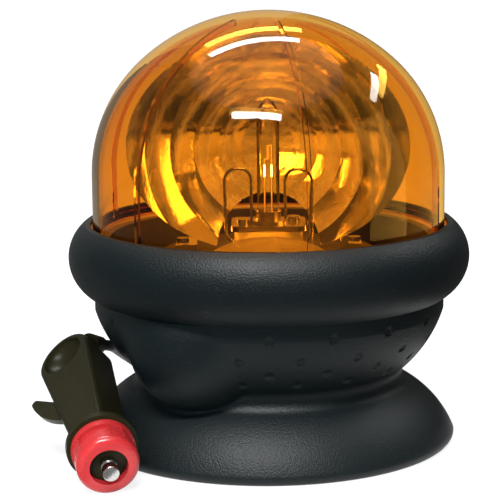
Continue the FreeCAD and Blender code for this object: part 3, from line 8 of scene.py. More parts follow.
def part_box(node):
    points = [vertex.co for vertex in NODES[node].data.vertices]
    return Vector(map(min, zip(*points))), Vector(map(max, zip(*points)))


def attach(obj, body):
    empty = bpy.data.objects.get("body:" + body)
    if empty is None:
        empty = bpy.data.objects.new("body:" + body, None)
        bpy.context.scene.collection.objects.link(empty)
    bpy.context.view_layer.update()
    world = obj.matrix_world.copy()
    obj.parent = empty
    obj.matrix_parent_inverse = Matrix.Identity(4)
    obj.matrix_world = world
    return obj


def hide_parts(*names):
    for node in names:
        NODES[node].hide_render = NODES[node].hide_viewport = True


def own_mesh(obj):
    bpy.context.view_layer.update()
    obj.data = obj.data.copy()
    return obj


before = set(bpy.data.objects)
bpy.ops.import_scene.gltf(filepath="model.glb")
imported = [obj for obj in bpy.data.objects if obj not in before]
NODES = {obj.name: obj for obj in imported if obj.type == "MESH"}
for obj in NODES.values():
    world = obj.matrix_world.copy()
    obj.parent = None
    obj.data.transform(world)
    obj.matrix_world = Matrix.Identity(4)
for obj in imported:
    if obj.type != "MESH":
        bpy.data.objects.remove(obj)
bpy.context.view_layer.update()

bl_info = {
    "name": "Rotating Beacon",
    "version": (1, 0, 0),
    "blender": (4, 5, 0),
    "location": "View3D > Sidebar > Beacon",
    "description": "Dresses the solids of an amber rotating beacon with finishes, cord and studio",
    "category": "Object",
}

MM = 0.001
WHITE = (1, 1, 1, 1)

# Route of the cord's open stretches in millimetres: from the plug to the coil, and from the coil to the gland
PLUG_RUN = [
    (-63.28, 6.4, 32.92), (-60.22, 13.96, 30.89), (-59.2, 22.4, 28.2), (-57.0, 33.5, 23.2),
    (-53.0, 47.0, 16.5), (-47.5, 61.0, 9.5), (-41.8, 75.0, 4.4), (-37.1, 89.0, 2.4), (-34.5, 102.0, 2.6),
]
GLAND_RUN = [
    (36.5, 104.0, 12.0), (40.0, 92.0, 10.8), (40.5, 81.0, 11.8), (36.74, 69.1, 16.45), (32.75, 61.6, 22.62),
]

# Nodes that lie on the cord
CORD_NODES = (
    "cord_tie", "plug_handle", "plug_sleeve", "contact_tip", "fuse", "adapter_ring", "plug_strain_relief",
)

# Heights of the four rows of dimples on the bowl, the share of a dimple's radius that its rounded edge takes,
# and the angle to each side of the bulge that has none
DIMPLE_HEIGHTS = (0.0494, 0.0414, 0.0360, 0.0320)
DIMPLE_EDGE = 0.35
BULGE_SPREAD = math.radians(24)

# Sharpest turn that the boot's hidden faces still shade as round
CREASE = math.radians(30)

# Scale and depth of the rubber's grain, and depth of fine scratches
BOOT_GRAIN = (1700.0, 0.00009)
GLAND_GRAIN = (1700.0, 0.00004)
SCRATCH_DEPTH = 0.00002

# Height and focal length of the mirror's dish, and how far its flutes are calmed in the light
MIRROR_AXIS = 0.1055
MIRROR_FOCUS = 0.0200
MIRROR_CALM = 0.65

# Height of the painted glint, a glowing band on the lamp's wires, and the distances from it between which the
# glint fades
GLINT_HEIGHT = 0.0987
GLINT_FADE = (0.0010, 0.0024)

# Half the floor's side, its shade round the foot, and the distances between which that shade turns white
FLOOR_HALF = 6.0
FLOOR_SHADE = 0.84
FLOOR_REACH = (0.10, 0.35)

# How far the hems of the curtains and of the bright card lie above the floor
CURTAIN_LIFT = 0.001
CARD_LIFT = 0.002

# Studio lamps: name, place, aim, size, power, and whether glossy faces mirror the lamp
LAMPS = (
    ("front_tube", (-0.12, -0.69, 0.96), (0, 0, 0.08), (0.55, 0.10), 20.0, True),
    ("top_box", (-0.10, 0.48, 1.09), (0, 0, 0.10), (0.66, 0.09), 9.0, True),
    ("side_tube", (0.86, 0.36, 0.86), (0, 0, 0.10), (0.50, 0.08), 3.5, True),
    ("camera_fill", (-0.45, -1.05, 0.30), (0, 0, 0.05), (0.5, 0.4), 18.0, False),
)


def colour_property(name, description, default):
    return bpy.props.FloatVectorProperty(
        name=name, description=description, subtype="COLOR", size=3, default=default, min=0, max=1)


def length_property(name, description, default, **limits):
    return bpy.props.FloatProperty(
        name=name, description=description, default=default, unit="LENGTH", **limits)


def angle_property(name, description, degrees):
    return bpy.props.FloatProperty(
        name=name, description=description, default=math.radians(degrees), unit="ROTATION")


class BeaconFinish(bpy.types.PropertyGroup):
    """Colours of the beacon's finishes."""
    rubber: colour_property("Rubber", "Colour of the boot and the collar", (0.0018, 0.0074, 0.0088))
    amber: colour_property("Amber", "Tint of light that has passed the dome's wall", (0.80, 0.43, 0.075))
    mirror: colour_property("Mirror", "Colour of the bright coating", (0.93, 0.91, 0.86))
    ring: colour_property("Adapter ring", "Colour of the plug's ring", (0.29, 0.015, 0.017))
    handle: colour_property("Plug handle", "Colour of the plug's moulding", (0.0085, 0.0078, 0.0032))
    moulding: colour_property("Inner mouldings", "Colour of the post, and of the parts tinted from it",
                              (0.72, 0.66, 0.52))
    steel: colour_property("Plated steel", "Colour of pressings, screws and wire", (0.62, 0.61, 0.58))


class BeaconBoot(bpy.types.PropertyGroup):
    """Sizes of the rubber boot."""
    floor_radius: length_property("Floor radius", "Outer edge of the ring that stands on the floor", 0.0656)
    foot_radius: length_property("Foot radius", "Widest radius of the foot", 0.0678)
    lip_height: length_property("Lip height", "Height of the foot's widest point", 0.0030)
    lip_round: length_property("Lip rounding", "Rounding of the foot's edge", 0.0032)
    flare_round: length_property("Flare rounding", "Radius of the flare in section", 0.0361)
    waist_radius: length_property("Waist radius", "Radius at the bottom of the waist's groove", 0.0489)
    waist_height: length_property("Waist height", "Height of the waist", 0.0251)
    waist_hollow: length_property("Waist depth", "Depth of the waist's groove", 0.0022)
    waist_half: length_property("Waist half height", "Half the height of the waist's groove", 0.0040)
    bowl_radius: length_property("Bowl radius", "Radius of the bowl under the collar", 0.0638)
    bowl_height: length_property("Bowl height", "Height where the bowl turns upright", 0.0493)
    bowl_round: length_property("Bowl rounding", "Radius of the bowl in section", 0.0461)
    collar_seat: length_property("Collar seat", "Height where the collar covers the bowl", 0.0547)
    bulge_radius: length_property("Bulge radius", "Radius of the round bulge", 0.0250)
    bulge_reach: length_property("Bulge reach", "Distance of the bulge's centre from the axis", 0.0425)
    bulge_height: length_property("Bulge height", "Height of the bulge's centre", 0.0435)
    bulge_blend: length_property("Bulge blend", "Softness of the bulge's edge", 0.0050)
    bulge_bearing: angle_property("Bulge bearing", "Angle of the bulge from the front, to the right", -35.5)
    dimple_radius: length_property("Dimple radius", "Radius of the dimples on the bowl", 0.0018)
    dimple_depth: length_property("Dimple depth", "Depth of the dimples on the bowl", 0.0006)
    dimple_count: bpy.props.IntProperty(name="Dimples", description="Dimples in each row", default=18, min=1)


class BeaconCord(bpy.types.PropertyGroup):
    """Facts of the cord."""
    diameter: length_property("Diameter", "Thickness of the cord", 0.0042, min=0.001)
    coil_radius: length_property("Coil radius", "Radius of the coil at the middle of its turns", 0.0231)
    coil_y: length_property("Coil place", "Distance of the coil behind the beacon's axis", 0.115)
    coil_floor: length_property("Coil lift", "Height of the coil's lowest turn above the floor", 0.00095)
    layers: bpy.props.IntProperty(
        name="Layers", description="Turns beside and on each other", default=4, min=1)


class BeaconStage(bpy.types.PropertyGroup):
    """Camera and studio walls."""
    distance: length_property("Camera distance", "Camera in front of the beacon's axis", 0.697)
    height: length_property("Camera height", "Camera above the floor", 0.197)
    pitch: angle_property("Pitch", "Camera looking down", 10.37)
    turn: angle_property("Turn", "Camera turned to the left", 0.562)
    roll: angle_property("Roll", "Camera tilted to its right", 0.6)
    lens: bpy.props.FloatProperty(
        name="Lens", description="Focal length on a 36 mm frame", default=139.46, min=10)
    curtain_radius: length_property("Curtain radius", "Distance of the curtains from the beacon's axis", 1.35)
    curtain_height: length_property("Curtain height", "Height of the curtains", 2.0)
    curtain_hem: length_property("Curtain hem", "How near to the axis the curtains' hem lies", 0.10)
    card_radius: length_property("Card distance", "Distance of the bright card from the beacon's axis", 0.90)
    card_height: length_property("Card height", "Height of the bright card", 0.70)
    card_hem: length_property("Card foot", "How near to the axis the bright card's foot lies", 0.40)
    curtain_split: angle_property("Curtain split", "Where the left and the right curtain meet", 60)


def finish_of(context):
    return context.scene.beacon_finish


def feed(tree, node, **inputs):
    """Set or link a node's inputs, each named by its label or by i and its number."""
    for key, value in inputs.items():
        label = key.replace("_", " ")
        socket = node.inputs[label] if label in node.inputs else node.inputs[int(key.lstrip("i"))]
        if isinstance(value, bpy.types.NodeSocket):
            tree.links.new(value, socket)
        else:
            socket.default_value = value


def add(tree, kind, settings=None, **inputs):
    """Add a shader node, set its options, and set or link its inputs."""
    made = tree.nodes.new(kind)
    for key, value in (settings or {}).items():
        setattr(made, key, value)
    feed(tree, made, **inputs)
    return made


def number(tree, operation, *values):
    """One step of arithmetic on numbers."""
    numbered = {f"i{index}": value for index, value in enumerate(values)}
    return add(tree, "ShaderNodeMath", {"operation": operation}, **numbered).outputs[0]


def vector(tree, operation, *values, out="Vector"):
    """One step of arithmetic on vectors."""
    numbered = {f"i{index}": value for index, value in enumerate(values)}
    return add(tree, "ShaderNodeVectorMath", {"operation": operation}, **numbered).outputs[out]


def object_place(tree):
    return add(tree, "ShaderNodeTexCoord").outputs["Object"]


def noise(tree, place, scale, **more):
    """Cloudy pattern from nought to one."""
    return add(tree, "ShaderNodeTexNoise", Vector=place, Scale=scale, **more).outputs["Fac"]


def spread(tree, value, low=0.0, high=1.0, start=0.0, end=1.0):
    """Map a value from one range, start to end, onto another, low to high."""
    made = add(tree, "ShaderNodeMapRange", Value=value, From_Min=start, From_Max=end, To_Min=low, To_Max=high)
    return made.outputs[0]


def ramp(tree, value, low, high, low_at=0.0, high_at=1.0):
    """Blend two colours by a value, between two stops."""
    made = add(tree, "ShaderNodeValToRGB", Fac=value)
    stops = made.color_ramp.elements
    stops[0].position = low_at
    stops[0].color = (*low, 1)
    stops[1].position = high_at
    stops[1].color = (*high, 1)
    return made.outputs["Color"]


def blend(tree, share, first, second):
    """Mix two colours by a share of the second."""
    return add(tree, "ShaderNodeMix", {"data_type": "RGBA"}, i0=share, i6=first, i7=second).outputs[2]


def bump(tree, skin, height, distance, strength=1.0):
    made = add(tree, "ShaderNodeBump", Height=height, Strength=strength, Distance=distance)
    feed(tree, skin, Normal=made.outputs["Normal"])
    return made


def show_mixed(tree, share, first, second, output="Material Output"):
    """Put a mix of two shaders on the surface, by a share of the second."""
    mixed = add(tree, "ShaderNodeMixShader", i0=share, i1=first.outputs[0], i2=second.outputs[0])
    feed(tree, tree.nodes[output], Surface=mixed.outputs[0])


def new_group(name, inputs, outputs):
    """An empty shader node group with named number inputs and named outputs."""
    tree = bpy.data.node_groups.new(name, "ShaderNodeTree")
    for label, value in inputs:
        socket = tree.interface.new_socket(name=label, in_out="INPUT", socket_type="NodeSocketFloat")
        socket.default_value = value
    for label in outputs:
        tree.interface.new_socket(name=label, in_out="OUTPUT", socket_type="NodeSocketFloat")
    return tree, tree.nodes.new("NodeGroupInput").outputs, tree.nodes.new("NodeGroupOutput")


def pebble_group():
    """Moulded pebble grain: small rounded bumps, with a slow change of shade."""
    tree, source, sink = new_group(
        "Pebble grain", [("Scale", 900.0), ("Patch Scale", 40.0)], ["Height", "Patch"])
    place = object_place(tree)
    cells = add(tree, "ShaderNodeTexVoronoi", {"feature": "SMOOTH_F1"}, Vector=place, Scale=source["Scale"],
                Smoothness=0.6)
    fine = noise(tree, place, source["Scale"], Detail=3.0, Roughness=0.65)
    patch = noise(tree, place, source["Patch Scale"], Detail=4.0, Roughness=0.55)
    feed(tree, sink, Height=number(tree, "SUBTRACT", fine, cells.outputs["Distance"]), Patch=patch)
    return tree


def handling_group():
    """Smudges and fine scratches from handling."""
    tree, source, sink = new_group(
        "Handling marks", [("Scale", 60.0), ("Scratch Scale", 700.0)], ["Smudge", "Scratch"])
    place = object_place(tree)
    smudge = noise(tree, place, source["Scale"], Detail=5.0, Roughness=0.6, Distortion=0.4)
    stretch = add(tree, "ShaderNodeMapping", Vector=place, Scale=(1.0, 0.06, 0.35), Rotation=(0.3, 0.2, 0.7))
    lines = noise(tree, stretch.outputs[0], source["Scratch Scale"], Detail=2.0, Roughness=0.5)
    feed(tree, sink, Smudge=smudge, Scratch=spread(tree, lines, start=0.62, end=0.75))
    return tree


def edge_group():
    """Light wear where a moulding turns a corner."""
    tree, source, sink = new_group(
        "Edge wear", [("Start", 0.52), ("End", 0.6), ("Break Scale", 160.0)], ["Mask"])
    bend = add(tree, "ShaderNodeNewGeometry").outputs["Pointiness"]
    patchy = noise(tree, object_place(tree), source["Break Scale"], Detail=3.0)
    worn = spread(tree, bend, start=source["Start"], end=source["End"])
    feed(tree, sink, Mask=number(tree, "MULTIPLY", worn, patchy))
    return tree


GROUP_MAKERS = {"Pebble grain": pebble_group, "Handling marks": handling_group, "Edge wear": edge_group}


def use_group(tree, name, **inputs):
    """Place a shared effect in a material, making it the first time, and give its outputs."""
    made = tree.nodes.new("ShaderNodeGroup")
    made.node_tree = bpy.data.node_groups.get(name) or GROUP_MAKERS[name]()
    feed(tree, made, **inputs)
    return made.outputs


def new_material(name, metallic=0.0, roughness=0.5, ior=1.5):
    mat = bpy.data.materials.new(name)
    mat.use_nodes = True
    tree = mat.node_tree
    skin = tree.nodes["Principled BSDF"]
    feed(tree, skin, Metallic=metallic, Roughness=roughness, IOR=ior)
    return mat, tree, skin


def lighter(colour, factor):
    return tuple(min(1.0, channel * factor) for channel in colour)


def rubber_material(name, colour, scale, depth):
    """Black rubber with a fine moulded grain, whose crests are painted lighter in the base colour as a
    painted sheen.
    """
    mat, tree, skin = new_material(name, roughness=0.5)
    grain = use_group(tree, "Pebble grain", Scale=scale, Patch_Scale=38.0)
    # Painted sheen: the grain's crests get a base colour up to six times lighter, where light would catch
    # them.
    painted_crest_sheen = ramp(tree, grain["Height"], lighter(colour, 0.4), lighter(colour, 6.0), 0.35, 0.85)
    rough = spread(tree, grain["Patch"], 0.44, 0.54)
    feed(tree, skin, Specular_IOR_Level=0.31, Base_Color=painted_crest_sheen, Roughness=rough)
    bump(tree, skin, grain["Height"], depth)
    return mat


def gloss_material(name, colour, roughness, gloss=0.5, wear=0.6):
    """Moulded gloss plastic with smudges, fine scratches and edges that wear makes lighter."""
    mat, tree, skin = new_material(name, roughness=roughness)
    marks = use_group(tree, "Handling marks", Scale=70.0)
    edge = use_group(tree, "Edge wear")
    worn = blend(tree, edge["Mask"], (*colour, 1), (*lighter(colour, 1.0 + wear), 1))
    rough = spread(tree, marks["Smudge"], roughness * 0.6, roughness * 1.7)
    feed(tree, skin, Specular_IOR_Level=gloss, Base_Color=worn, Roughness=rough)
    bump(tree, skin, marks["Scratch"], SCRATCH_DEPTH, 0.25)
    return mat


def metal_material(name, colour, roughness):
    """Plated or bare metal with smudges and fine scratches."""
    mat, tree, skin = new_material(name, metallic=1.0, roughness=roughness)
    marks = use_group(tree, "Handling marks", Scale=110.0, Scratch_Scale=900.0)
    tone = ramp(tree, marks["Smudge"], lighter(colour, 0.8), lighter(colour, 1.12), 0.3, 0.7)
    rough = spread(tree, marks["Smudge"], roughness * 0.7, roughness * 1.4)
    feed(tree, skin, Base_Color=tone, Roughness=rough)
    bump(tree, skin, marks["Scratch"], SCRATCH_DEPTH, 0.3)
    return mat


def mirror_material(name, colour):
    """Bright coating on a dish that isn't quite even, its flutes calmed towards the plain dish."""
    mat, tree, skin = new_material(name, metallic=1.0, roughness=0.08)
    smudge = use_group(tree, "Handling marks", Scale=70.0)["Smudge"]
    tone = ramp(tree, smudge, lighter(colour, 0.85), lighter(colour, 1.05), 0.3, 0.7)
    feed(tree, skin, Base_Color=tone, Roughness=spread(tree, smudge, 0.04, 0.12))
    uneven = bump(tree, skin, smudge, 0.00012)
    from_axis = vector(tree, "SUBTRACT", object_place(tree), (0, 0, MIRROR_AXIS))
    slope = -0.5 / MIRROR_FOCUS
    leaning = vector(tree, "MULTIPLY_ADD", from_axis, (slope, 0, slope), (0, -1, 0))
    turned = add(tree, "ShaderNodeVectorTransform",
                 {"vector_type": "NORMAL", "convert_from": "OBJECT", "convert_to": "WORLD"}, i0=leaning)
    plain = vector(tree, "NORMALIZE", turned.outputs[0])
    fluted = add(tree, "ShaderNodeNewGeometry").outputs["Normal"]
    facing = vector(tree, "DOT_PRODUCT", fluted, plain, out="Value")
    front = spread(tree, facing, high=MIRROR_CALM, start=0.3, end=0.6)
    calmed = add(tree, "ShaderNodeMix", {"data_type": "VECTOR"}, i0=front, i4=fluted, i5=plain)
    feed(tree, uneven, Normal=calmed.outputs[1])
    return mat


def dome_material(name, tint):
    """Clear tinted moulding; shadows, scattered light and mirrored light pass straight through."""
    mat, tree, skin = new_material(name, roughness=0.015, ior=1.24)
    smudge = use_group(tree, "Handling marks", Scale=35.0)["Smudge"]
    rough = spread(tree, smudge, 0.0, 0.03)
    feed(tree, skin, Transmission_Weight=1.0, Base_Color=(*tint, 1), Roughness=rough)
    path = add(tree, "ShaderNodeLightPath").outputs
    lit = number(tree, "MAXIMUM", path["Is Shadow Ray"], path["Is Diffuse Ray"])
    mirrored = number(tree, "SUBTRACT", path["Is Glossy Ray"], path["Is Transmission Ray"])
    clear = add(tree, "ShaderNodeBsdfTransparent", Color=(*(math.sqrt(channel) for channel in tint), 1))
    show_mixed(tree, number(tree, "MAXIMUM", lit, mirrored), skin, clear)
    return mat


def glass_material(name):
    """Clear lamp glass, which throws no shadow."""
    mat, tree, skin = new_material(name, roughness=0.0, ior=1.46)
    feed(tree, skin, Transmission_Weight=1.0, Base_Color=WHITE)
    path = add(tree, "ShaderNodeLightPath").outputs
    show_mixed(tree, path["Is Shadow Ray"], skin, add(tree, "ShaderNodeBsdfTransparent"))
    return mat


def filament_material(name):
    """Tungsten wires with one small painted glint, a short band where the wires glow, which is dim in
    mirrored light.
    """
    mat, tree, skin = new_material(name, metallic=1.0, roughness=0.4)
    height = add(tree, "ShaderNodeSeparateXYZ", Vector=object_place(tree)).outputs["Z"]
    away = number(tree, "ABSOLUTE", number(tree, "SUBTRACT", height, GLINT_HEIGHT))
    # Painted glint: the wires glow only in a short band at this height, and the glow is dimmed where a mirror
    # shows it.
    lit = spread(tree, away, 1.0, 0.0, *GLINT_FADE)
    painted_glint = ramp(tree, lit, (0.001, 0.0008, 0.0004), (1.0, 0.95, 0.85))
    mirrored = add(tree, "ShaderNodeLightPath").outputs["Glossy Depth"]
    dimmed = blend(tree, mirrored, painted_glint, (0.003, 0.0028, 0.0024, 1))
    feed(tree, skin, Base_Color=(0.8, 0.72, 0.6, 1), Emission_Color=dimmed, Emission_Strength=40.0)
    return mat


def coat(mat, *names):
    """Give CAD nodes a finish."""
    for name in names:
        item = NODES[name]
        if not item.material_slots:
            item.data.materials.append(mat)
        for slot in item.material_slots:
            slot.material = mat


def new_object(context, name, data):
    """An object with this data, put into the scene."""
    made = bpy.data.objects.new(name, data)
    context.collection.objects.link(made)
    return made


def finished_mesh(name, build):
    """Turn what was built into a mesh."""
    mesh = bpy.data.meshes.new(name)
    build.to_mesh(mesh)
    build.free()
    return mesh


def arc_points(start, end, radius, side, count):
    """Points along an arc from start to end, bulging to the right (1) or the left (-1) of its way."""
    start = Vector(start)
    chord = Vector(end) - start
    half = chord.length / 2
    right = Vector((chord.y, -chord.x)).normalized()
    centre = start + chord / 2 - right * (side * math.sqrt(radius * radius - half * half))
    first = math.atan2(start.y - centre.y, start.x - centre.x)
    sweep = 2 * side * math.asin(half / radius)
    return [(centre.x + radius * math.cos(first + sweep * step / count),
             centre.y + radius * math.sin(first + sweep * step / count)) for step in range(1, count + 1)]


def boot_skin(boot):
    """Section of the boot's outer face, as radius and height, from the floor to the collar."""
    shoulder = boot.waist_radius + boot.waist_hollow
    waist_round = (boot.waist_half ** 2 + boot.waist_hollow ** 2) / (2 * boot.waist_hollow)
    # Each arc's end, its radius, the side that it bulges to, and its number of points
    arcs = [
        ((boot.foot_radius, boot.lip_height), boot.lip_round, 1, 6),
        ((shoulder, boot.waist_height - boot.waist_half), boot.flare_round, 1, 20),
        ((shoulder, boot.waist_height + boot.waist_half), waist_round, -1, 14),
        ((boot.bowl_radius, boot.bowl_height), boot.bowl_round, 1, 46),
    ]
    skin = [(boot.floor_radius, 0.0)]
    for end, radius, side, count in arcs:
        skin += arc_points(skin[-1], end, radius, side, count)
    rows = 10
    rise = boot.collar_seat - boot.bowl_height
    skin += [(boot.bowl_radius, boot.bowl_height + rise * row / rows) for row in range(1, rows + 1)]
    return skin


def boot_inside(boot):
    """Section of the hidden faces, from the collar's seat over the top and down the hollows to the floor."""
    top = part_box("rubber_boot")[1][2]
    pan_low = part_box("chassis_pan")[0]
    pot_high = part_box("magnet_pot")[1]
    gap = 0.0003
    # Radii of the pan's pocket, the ledge under it, the waist's hollow and the magnet's bolt
    pocket = 0.0605
    ledge = 0.0562
    waist = 0.0448
    bolt = 0.0026
    # Web over the magnet, and the shallow recess round it
    web_bottom = pot_high[2] + gap
    web_top = web_bottom + 0.0030
    recess = (0.0570, 0.0016)
    return [
        (boot.bowl_radius, boot.collar_seat + gap), (boot.bowl_radius, top), (pocket, top),
        (pocket, pan_low[2] - gap), (ledge, pan_low[2] - gap), (ledge, boot.bowl_height),
        (waist, boot.waist_height), (waist, web_top), (bolt, web_top), (bolt, web_bottom),
        (pot_high[0] + gap, web_bottom), (pot_high[0] + gap, recess[1]), recess, (recess[0], 0.0),
    ]


def bulged(boot, radius, height, bearing):
    """Radius of the outer face once the round bulge is blended into it."""
    along = boot.bulge_reach * math.cos(bearing - boot.bulge_bearing)
    room = along ** 2 - boot.bulge_reach ** 2 - (height - boot.bulge_height) ** 2 + boot.bulge_radius ** 2
    if room <= 0:
        return radius
    ball = along + math.sqrt(room)
    overlap = max(boot.bulge_blend - abs(ball - radius), 0.0)
    return max(ball, radius) + overlap * overlap / (4 * boot.bulge_blend)


def dimple_depth(boot, radii, radius, height, bearing):
    """How far a point of the bowl lies sunk in a dimple; each row is set half a step from the next."""
    pitch = 2 * math.pi / boot.dimple_count
    for row, (level, level_radius) in enumerate(zip(DIMPLE_HEIGHTS, radii)):
        if abs(height - level) > boot.dimple_radius:
            continue
        offset = pitch / 2 * (row % 2)
        middle = round((bearing - offset) / pitch) * pitch + offset
        if abs(math.remainder(middle - boot.bulge_bearing, 2 * math.pi)) < BULGE_SPREAD:
            continue
        across = level_radius * math.remainder(bearing - middle, 2 * math.pi)
        away = math.sqrt(across ** 2 + (height - level) ** 2 + (radius - level_radius) ** 2)
        share = min(max((boot.dimple_radius - away) / (DIMPLE_EDGE * boot.dimple_radius), 0.0), 1.0)
        if share > 0:
            return boot.dimple_depth * share * share * (3 - 2 * share)
    return 0.0


def boot_mesh(boot, segments=720):
    """The boot turned about its axis as one closed mesh, with its bulge and dimples."""
    skin = boot_skin(boot)
    profile = skin + boot_inside(boot)
    radii = [min(skin, key=lambda point: abs(point[1] - level))[0] for level in DIMPLE_HEIGHTS]
    build = bmesh.new()
    rings = []
    for index, (radius, height) in enumerate(profile):
        ring = []
        for step in range(segments):
            bearing = math.remainder(2 * math.pi * step / segments, 2 * math.pi)
            reach = radius
            if index < len(skin):
                reach = bulged(boot, radius, height, bearing)
                reach -= dimple_depth(boot, radii, radius, height, bearing)
            ring.append(build.verts.new((reach * math.sin(bearing), -reach * math.cos(bearing), height)))
        rings.append(ring)
    for ring, other in zip(rings, rings[1:] + rings[:1]):
        for step in range(segments):
            follow = (step + 1) % segments
            face = build.faces.new((ring[step], ring[follow], other[follow], other[step]))
            face.smooth = True
    hidden = {vert for ring in rings[len(skin) - 1:] + rings[:1] for vert in ring}
    for edge in build.edges:
        if hidden.issuperset(edge.verts) and edge.calc_face_angle(0) > CREASE:
            edge.smooth = False
    bmesh.ops.recalc_face_normals(build, faces=build.faces)
    return finished_mesh("boot_moulding", build)


class BEACON_OT_boot(bpy.types.Operator):
    """Rubber boot, rim collar, gland and the pale seal"""
    bl_idname = "beacon.boot"
    bl_label = "Rubber boot and collar"

    def execute(self, context):
        colour = finish_of(context).rubber
        mesh = boot_mesh(context.scene.beacon_boot)
        mesh.materials.append(rubber_material("Boot rubber", colour, *BOOT_GRAIN))
        piece = new_object(context, "boot_moulding", mesh)
        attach(piece, "base")
        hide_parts("rubber_boot")
        coat(rubber_material("Collar rubber", lighter(colour, 0.95), *BOOT_GRAIN), "rim_collar")
        coat(rubber_material("Gland rubber", lighter(colour, 0.9), *GLAND_GRAIN), "cable_gland", "cord_tie")
        coat(gloss_material("Seal", (0.62, 0.60, 0.55), 0.5), "dome_seal")
        return {"FINISHED"}


class BEACON_OT_dome(bpy.types.Operator):
    """Amber dome"""
    bl_idname = "beacon.dome"
    bl_label = "Dome"

    def execute(self, context):
        coat(dome_material("Amber dome", finish_of(context).amber), "dome_lens")
        return {"FINISHED"}


class BEACON_OT_lamp(bpy.types.Operator):
    """Halogen lamp, its post, holder plate and wire springs, and the small steel parts"""
    bl_idname = "beacon.lamp"
    bl_label = "Lamp and holder"

    def execute(self, context):
        finish = finish_of(context)
        coat(metal_material("Plated steel", finish.steel, 0.24),
             "holder_plate", "plate_screws", "lamp_springs", "post_screws", "motor_screws", "mirror_screws",
             "retaining_ring", "idler_pin", "motor_shaft", "magnet_bolt", "magnet_washer")
        coat(metal_material("Lamp metal", (0.75, 0.68, 0.55), 0.25), "lamp_base", "lamp_connector")
        coat(glass_material("Lamp glass"), "lamp_glass")
        coat(filament_material("Filament"), "lamp_filament")
        coat(gloss_material("Pale moulding", finish.moulding, 0.3),
             "lamp_post", "bearing_sleeve", "motor_end_cap")
        return {"FINISHED"}


class BEACON_OT_rotor(bpy.types.Operator):
    """Turning mirror, turntable, balance weight and gears"""
    bl_idname = "beacon.rotor"
    bl_label = "Mirror and gears"

    def execute(self, context):
        finish = finish_of(context)
        coat(mirror_material("Mirror coating", finish.mirror), "mirror")
        coat(gloss_material("Turntable moulding", lighter(finish.moulding, 0.12), 0.4, gloss=0.2),
             "turntable")
        coat(gloss_material("Weight moulding", lighter(finish.moulding, 0.5), 0.28), "balance_weight")
        coat(gloss_material("Gear moulding", lighter(finish.moulding, 1.1), 0.4), "ring_gear", "idler_gear")
        coat(metal_material("Pinion brass", (0.78, 0.58, 0.26), 0.3), "drive_pinion")
        return {"FINISHED"}


class BEACON_OT_inside(bpy.types.Operator):
    """Chassis pan, motor, magnet and leads"""
    bl_idname = "beacon.inside"
    bl_label = "Pan, motor and magnet"

    def execute(self, context):
        finish = finish_of(context)
        coat(gloss_material("Pan moulding", (0.085, 0.078, 0.066), 0.3), "chassis_pan")
        coat(metal_material("Motor steel", lighter(finish.steel, 0.9), 0.35), "motor_can")
        coat(metal_material("Pot steel", lighter(finish.steel, 0.7), 0.4), "magnet_pot", "pole_piece")
        coat(gloss_material("Ferrite", (0.035, 0.035, 0.038), 0.55), "ferrite_magnet")
        coat(gloss_material("Lead jacket", (0.02, 0.02, 0.02), 0.4), "lamp_lead", "motor_lead")
        return {"FINISHED"}


def tip_coil(context, mat):
    """Spring behind the contact tip, copied from the CAD spring and attached to the base; the real spring
    shortens as the tip is pressed in, which this copy doesn't do.
    """
    spring = NODES["tip_spring"]
    piece = new_object(context, "tip_coil", spring.data.copy())
    piece.matrix_world = spring.matrix_world.copy()
    piece.data.materials.clear()
    piece.data.materials.append(mat)
    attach(piece, "base")
    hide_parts("tip_spring")
    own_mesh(piece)


class BEACON_OT_plug(bpy.types.Operator):
    """Lighter plug"""
    bl_idname = "beacon.plug"
    bl_label = "Lighter plug"

    def execute(self, context):
        finish = finish_of(context)
        coat(gloss_material("Plug moulding", finish.handle, 0.30, gloss=0.1),
             "plug_handle", "plug_sleeve", "plug_strain_relief")
        coat(gloss_material("Ring moulding", finish.ring, 0.24, wear=0.2), "adapter_ring")
        coat(metal_material("Contact metal", (0.78, 0.77, 0.75), 0.16), "contact_tip", "fuse")
        tip_coil(context, metal_material("Spring steel", finish.steel, 0.24))
        return {"FINISHED"}


def metres(run):
    return [tuple(value * MM for value in point) for point in run]


def coil_turns(cord):
    """Control points of the tied coil, layer on layer, wound in and out by turns."""
    pitch = cord.diameter
    per_turn = 12
    points = []
    count = cord.layers * cord.layers * per_turn
    last = cord.layers - 1
    for step in range(count + per_turn // 2 + 1):
        turns = step / per_turn
        layer = min(int(turns // cord.layers), last)
        in_layer = turns - layer * cord.layers
        along = min(in_layer, last)
        row = last - along if layer % 2 == 0 else along
        radius = cord.coil_radius + (row - last / 2) * pitch
        rise = min(1.0, max(0.0, in_layer - last))
        level = layer + (rise if layer < last else 0.0)
        angle = math.pi - 2 * math.pi * turns
        height = cord.coil_floor + pitch / 2 + level * pitch
        points.append((radius * math.cos(angle), cord.coil_y + radius * math.sin(angle), height))
    return points


class BEACON_OT_cord(bpy.types.Operator):
    """One round cord from the plug, through its tied coil, to the gland"""
    bl_idname = "beacon.cord"
    bl_label = "Cord"

    def execute(self, context):
        cord = context.scene.beacon_cord
        points = metres(PLUG_RUN) + coil_turns(cord) + metres(GLAND_RUN)
        data = bpy.data.curves.new("cord", "CURVE")
        data.dimensions = "3D"
        data.bevel_depth = cord.diameter / 2
        data.bevel_resolution = 5
        data.resolution_u = 6
        spline = data.splines.new("NURBS")
        spline.points.add(len(points) - 1)
        for point, place in zip(spline.points, points):
            point.co = (*place, 1)
        spline.order_u = 3
        spline.use_endpoint_u = True
        data.materials.append(gloss_material("Cord jacket", (0.016, 0.016, 0.016), 0.42))
        piece = new_object(context, "cord", data)
        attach(piece, "base")
        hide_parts("cord_plug_run", "cord_coil", "cord_gland_run")
        plug = [NODES[name] for name in CORD_NODES]
        plug.append(bpy.data.objects["tip_coil"])
        return {"FINISHED"}


